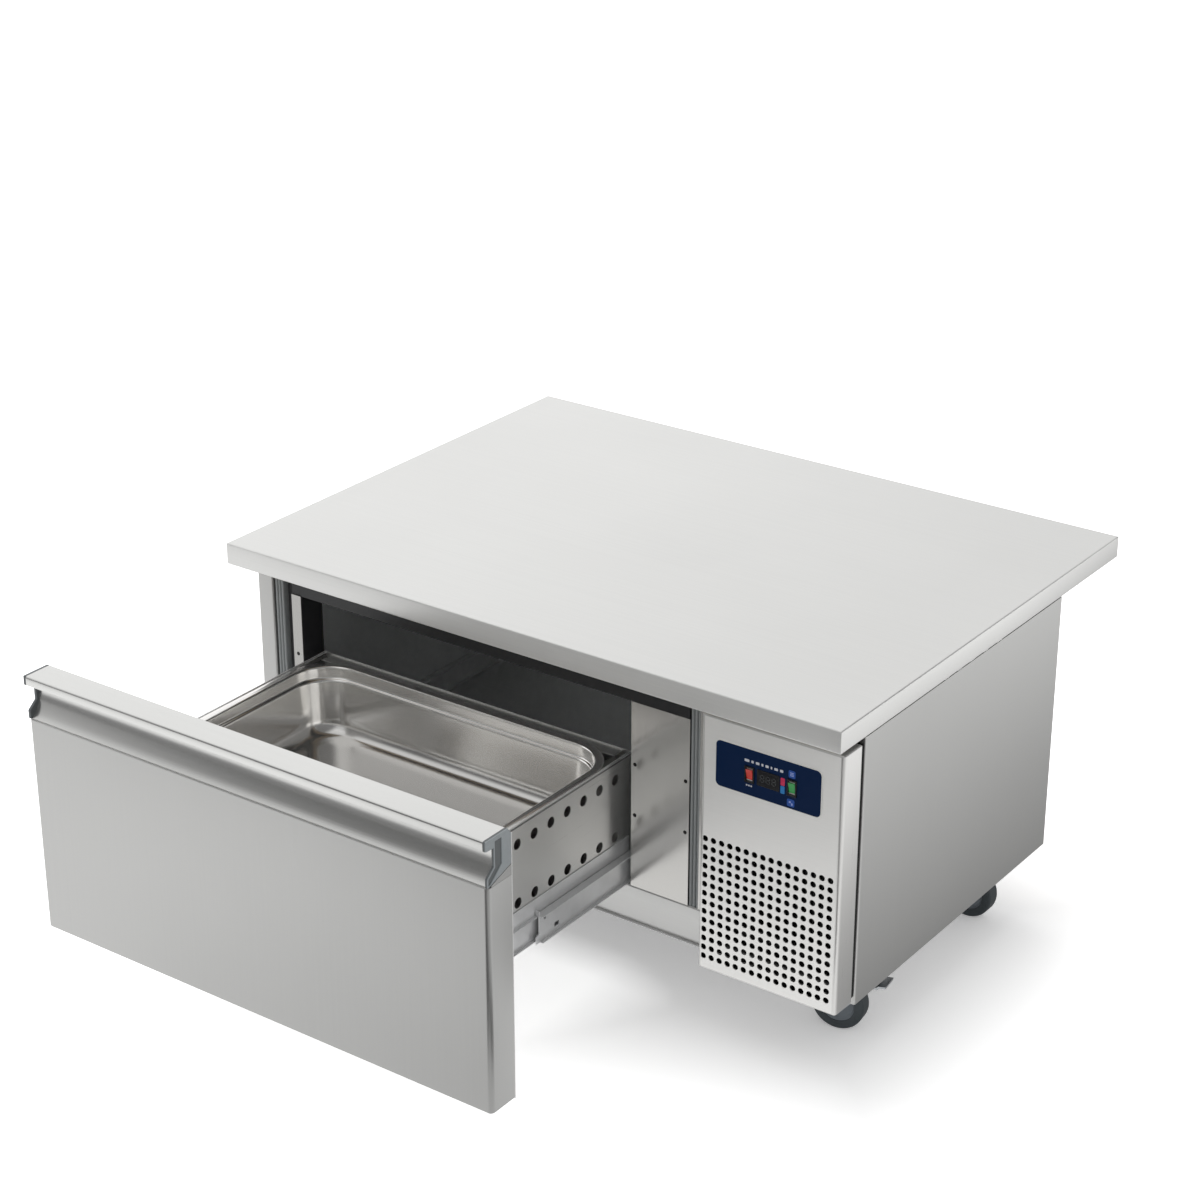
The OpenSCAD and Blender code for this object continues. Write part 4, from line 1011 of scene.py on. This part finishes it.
front_finish = shaded(steel("front_brushed", (0.55, 0.55, 0.54), 0.33, "z", 0.02), painted_shade_on_sides)
front_middle = (front_low + front_high) / 2
handle_low, handle_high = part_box("handle")
face_y = front_low.y
front_top = handle_low.z - 0.0003
front_size = (front_high.x - front_low.x, front_top - front_low.z)
front_middle.z = (front_low.z + front_top) / 2
front_tray = folded_tray("front_tray", front_size, front_high.y - face_y, (front_bend, front_sheet),
                         front_sheet,
                         lambda u, v, drop: (front_middle.x + u, face_y + drop, front_middle.z + v),
                         front_finish)
dress(plain("front_foam", (0.80, 0.74, 0.52), 0.85, 0.05, 90, 0, 0.3), "drawer_foam")
dress(plain("inner_skin_pale", (0.86, 0.86, 0.85), 0.42, 0.02, 260, 0, 0.08), "drawer_inner_skin")


def rounded_outline(corners, steps=5):
    """A closed outline from corners given as across, up and radius."""
    points = [Vector(c[:2]) for c in corners]
    outline = []
    for i, corner in enumerate(points):
        radius = corners[i][2]
        if radius == 0:
            outline.append(corner)
            continue
        line = rounded_line([points[i - 1], corner, points[(i + 1) % len(points)]], radius, steps)
        outline += line[1:-1]
    return outline


cap_low, cap_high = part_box("handle_caps")
cap_back_z = cap_high.z - 0.048
tab_front = face_y + front_bend
tab_corners = [(tab_front, front_top - 0.0004, 0), (front_high.y, front_top - 0.0004, 0),
               (front_high.y, cap_back_z - 0.0003, 0), (tab_front, front_top + 0.0018, 0)]
tabs = [drawn_out("tab", rounded_outline(tab_corners), x, x + front_sheet, along_x, front_finish)
        for x in (front_low.x, front_high.x - front_sheet)]
drawer_sheet = joined("drawer_front_sheet", front_finish, front_tray, *tabs)
fit(drawer_sheet, "drawer", "drawer_steel", "drawer_front")

handle_finish = steel("handle_satin", (0.74, 0.74, 0.725), 0.22, "x", 0.010, 700, 0.015, 0.015, 0.92)
lip = handle_low.y
top = handle_high.z
back_y = handle_high.y
recess_depth = 0.018
recess_angle = math.radians(52)
recess_r = recess_depth / (1 - math.cos(recess_angle))
recess_steps = 16
recess_arc = [recess_angle * (1 - k / recess_steps) for k in range(1, recess_steps + 1)]
recess = [(face_y + recess_r * (math.cos(a) - math.cos(recess_angle)),
           handle_low.z + recess_r * (math.sin(recess_angle) - math.sin(a)), 0) for a in recess_arc]
lip_h = 0.013
bevel_w, bevel_h = 0.0058, 0.007
# The outline runs from the low end of the back over the foot, recess and lip to the bevel.
handle_corners = [(back_y, handle_low.z, 0), (face_y, handle_low.z, 0.0006)] + recess + [
    (face_y + recess_depth, top - lip_h - 0.0015, 0.003), (lip, top - lip_h, 0.0014),
    (lip, top, 0.0028), (back_y - bevel_w, top, 0.002), (back_y, top - bevel_h, 0.0008)]
handle = drawn_out("handle_profile", rounded_outline(handle_corners), handle_low.x, handle_high.x,
                   along_x, handle_finish, 50)
fit(handle, "drawer", "drawer_steel", "handle")

cap_half = (cap_high.x - cap_low.x) / 2


def cap_painted_shade(tree, at):
    """The caps' plastic keeps its colour outside and has painted shade where it is sunk or faces inwards.
    """
    off = off_middle(tree, at["X"], cap_low.x, cap_high.x)
    return ranged(tree, off, cap_half - 0.0014, cap_half - 0.0009, 0.36, 1)


cap_plastic = shaded(plain("cap_grey_blue", (0.33, 0.36, 0.375), 0.34, 0.03, 160), cap_painted_shade)
refit("handle_end_caps", "handle_caps", 0.0007, cap_plastic, "drawer", "grey_plastic")
refit("door_gasket", "gasket", 0.0006, plain("gasket_grey", (0.10, 0.10, 0.11), 0.6),
      "drawer", "gasket_rubber", 3)

# Drawer box
# Thin sheets: two sides punched with two rows of round holes and hemmed along the top, a
# floor, a back, and narrow ledges that carry the pan.
hem_r = 0.0016
box_left, box_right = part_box("drawer_side_left")[0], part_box("drawer_side_right")[1]


def hem_painted_light_and_shade(tree, at):
    """The hem has a painted highlight, and the sheet painted shade just under it and in the gap beside the
    pan.
    """
    under = ranged(tree, at["Z"], box_right.z - 0.0056, box_right.z - 0.0044, 1, 0.30)
    roll = ranged(tree, at["Z"], box_right.z - 0.0036, box_right.z - 0.0028, 0, 1.60)
    off = off_middle(tree, at["X"], box_left.x, box_right.x)
    inside = (box_right.x - box_left.x) / 2 - 2 * hem_r
    gap = ranged(tree, off, inside - 0.0008, inside - 0.0002, 0.30, 1)
    return maths(tree, "MULTIPLY", maths(tree, "MAXIMUM", under, roll), gap)


def flat_bar(name, x0, x1, z0, z1, y0, y1, material):
    """A bar with a rectangular section that runs along y."""
    return drawn_out(name, [(x0, z0), (x1, z0), (x1, z1), (x0, z1)], y0, y1, along_y, material)


box_finish = steel("box_sheet", (0.76, 0.76, 0.745), 0.28, "y", 0.006, 900, 0, 0.008)
side_finish = shaded(steel("box_side_sheet", (0.74, 0.74, 0.725), 0.28, "y", 0.006, 900, 0, 0.008),
                     hem_painted_light_and_shade)
box_sheet = 0.001
hole_columns, hole_pitch, side_hole = 12, 0.0353, 0.015
upper_row, lower_row = 0.028, 0.113
first_hole = front_high.y + front_sheet + 0.026
holes_y = first_hole + hole_pitch * (hole_columns - 1) / 2
ledge_w, foot_w = 0.013, 0.016
ledge_drop = 0.002
ledge_short = 0.0225
for side, outward in (("left", -1), ("right", 1)):
    low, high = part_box("drawer_side_" + side)
    outer_x = high.x if outward > 0 else low.x
    y_mid = (low.y + high.y) / 2
    z_mid = (low.z + high.z) / 2
    upright = Matrix(((0, 0, outward, outer_x - outward * box_sheet), (outward, 0, 0, y_mid),
                      (0, 1, 0, z_mid), (0, 0, 0, 1)))
    wall_piece = punched_sheet("side_wall", upright, side_hole,
                               width=high.y - low.y, height=high.z - low.z,
                               sheet=box_sheet, columns=hole_columns, rows=2, pitch_across=hole_pitch,
                               pitch_up=lower_row - upper_row,
                               middle_across=(holes_y - y_mid) * outward,
                               middle_up=high.z - (upper_row + lower_row) / 2 - z_mid,
                               finish=side_finish)
    roll = [(outer_x - outward * hem_r * (1 + math.cos(a)), high.z - hem_r * (1 - math.sin(a)))
            for a in [math.pi * k / 8 for k in range(16)]]
    hem = drawn_out("hem", roll, low.y, high.y, along_y, side_finish)
    ledge_top = high.z - ledge_drop
    ledge_foot = ledge_top - box_sheet
    foot_x = outer_x - outward * foot_w
    ledge = flat_bar("ledge", outer_x, outer_x - outward * ledge_w, ledge_foot, ledge_top,
                     low.y, high.y - ledge_short, side_finish)
    foot = flat_bar("foot", outer_x, foot_x, low.z, low.z + box_sheet, low.y, high.y, side_finish)
    tab = flat_bar("tab", outer_x, foot_x, low.z, ledge_foot, low.y, low.y + box_sheet, side_finish)
    box_side = joined("box_side_" + side, side_finish, wall_piece, hem, ledge, foot, tab)
    fit(box_side, "drawer", "drawer_steel", "drawer_side_" + side)
refit("box_floor_and_back", "drawer_tray", 0.0003, box_finish, "drawer", "drawer_steel")

# Pan
# A deep-drawn stainless gastronorm pan, polished inside: a flange with its edge turned
# down, a bead, a shoulder for stacking, and walls that taper to a rounded bottom.
pan_low, pan_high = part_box("pan")
pan_middle = (pan_low + pan_high) / 2
pan_size = (pan_high.x - pan_low.x, pan_high.y - pan_low.y)
rim_z = pan_high.z
pan_wall = 0.0008


def painted_shade_on_bottom(tree, at):
    """Painted shade darkens the bottom, and a little painted light brightens the walls above it."""
    return ranged(tree, at["Z"], rim_z - 0.098, rim_z - 0.080, 0.72, 1.08)


pan_finish = shaded(steel("pan_polished", (0.90, 0.89, 0.87), 0.17, "x", 0.004, 700, 0, 0.004, 0.9),
                    painted_shade_on_bottom)
# Inset from the flange's edge, drop below the rim, and corner radius in plan
pan_levels = [(0.0002, 0.0045, 0.070), (0.0000, 0.0015, 0.070), (0.0006, 0.0004, 0.0694),
              (0.0016, 0.0, 0.0684), (0.0080, 0.0, 0.062), (0.0092, 0.0003, 0.061),
              (0.0105, 0.0001, 0.060), (0.0118, 0.0004, 0.058), (0.0126, 0.0014, 0.057),
              (0.0130, 0.0030, 0.057), (0.0134, 0.0150, 0.056), (0.0137, 0.0168, 0.056),
              (0.0144, 0.0180, 0.055), (0.0154, 0.0186, 0.054), (0.0164, 0.0192, 0.053),
              (0.0170, 0.0206, 0.053), (0.0174, 0.0230, 0.053), (0.0222, 0.0750, 0.049),
              (0.0234, 0.0822, 0.048), (0.0260, 0.0884, 0.046), (0.0304, 0.0938, 0.042),
              (0.0362, 0.0974, 0.037), (0.0430, 0.0993, 0.032), (0.0500, 0.0999, 0.026)]
pan_rings = []
for inset, drop, radius in pan_levels:
    ring = rounded_ring(pan_size[0] - 2 * inset, pan_size[1] - 2 * inset, radius, 16)
    pan_rings.append([(pan_middle.x + u, pan_middle.y + v, rim_z - drop) for u, v in ring])
pan_build = bmesh.new()
pan_rows = add_rings(pan_build, pan_rings, capped=False)
pan_build.faces.new(pan_rows[-1])
pan = as_piece("gastronorm_pan", pan_build, pan_finish, 60)
thickness = pan.modifiers.new("wall", "SOLIDIFY")
thickness.thickness = pan_wall
thickness.offset = -1
fit(pan, "drawer", "polished_steel", "pan")

# Slides
# Galvanized telescopic slides: channels on the drawer and on the cabinet's walls, and
# middle members that run out half as far as the drawer, with a hook at the front.
slide_finish = plain("slide_zinc", (0.76, 0.765, 0.77), 0.32, 0.03, 55, 0.50, 0.03)
for name, cad_name, body in (("cabinet_channels", "cabinet_slides", "cabinet"),
                             ("drawer_channels", "drawer_slides", "drawer"),
                             ("middle_members", "middle_slides", "slide_middles")):
    refit(name, cad_name, 0.0005, slide_finish, body, "zinc_steel")

# The patterns of the fasteners are no pieces themselves.
for pattern_piece in (pan_head, screw_ring):
    bpy.data.objects.remove(pattern_piece)
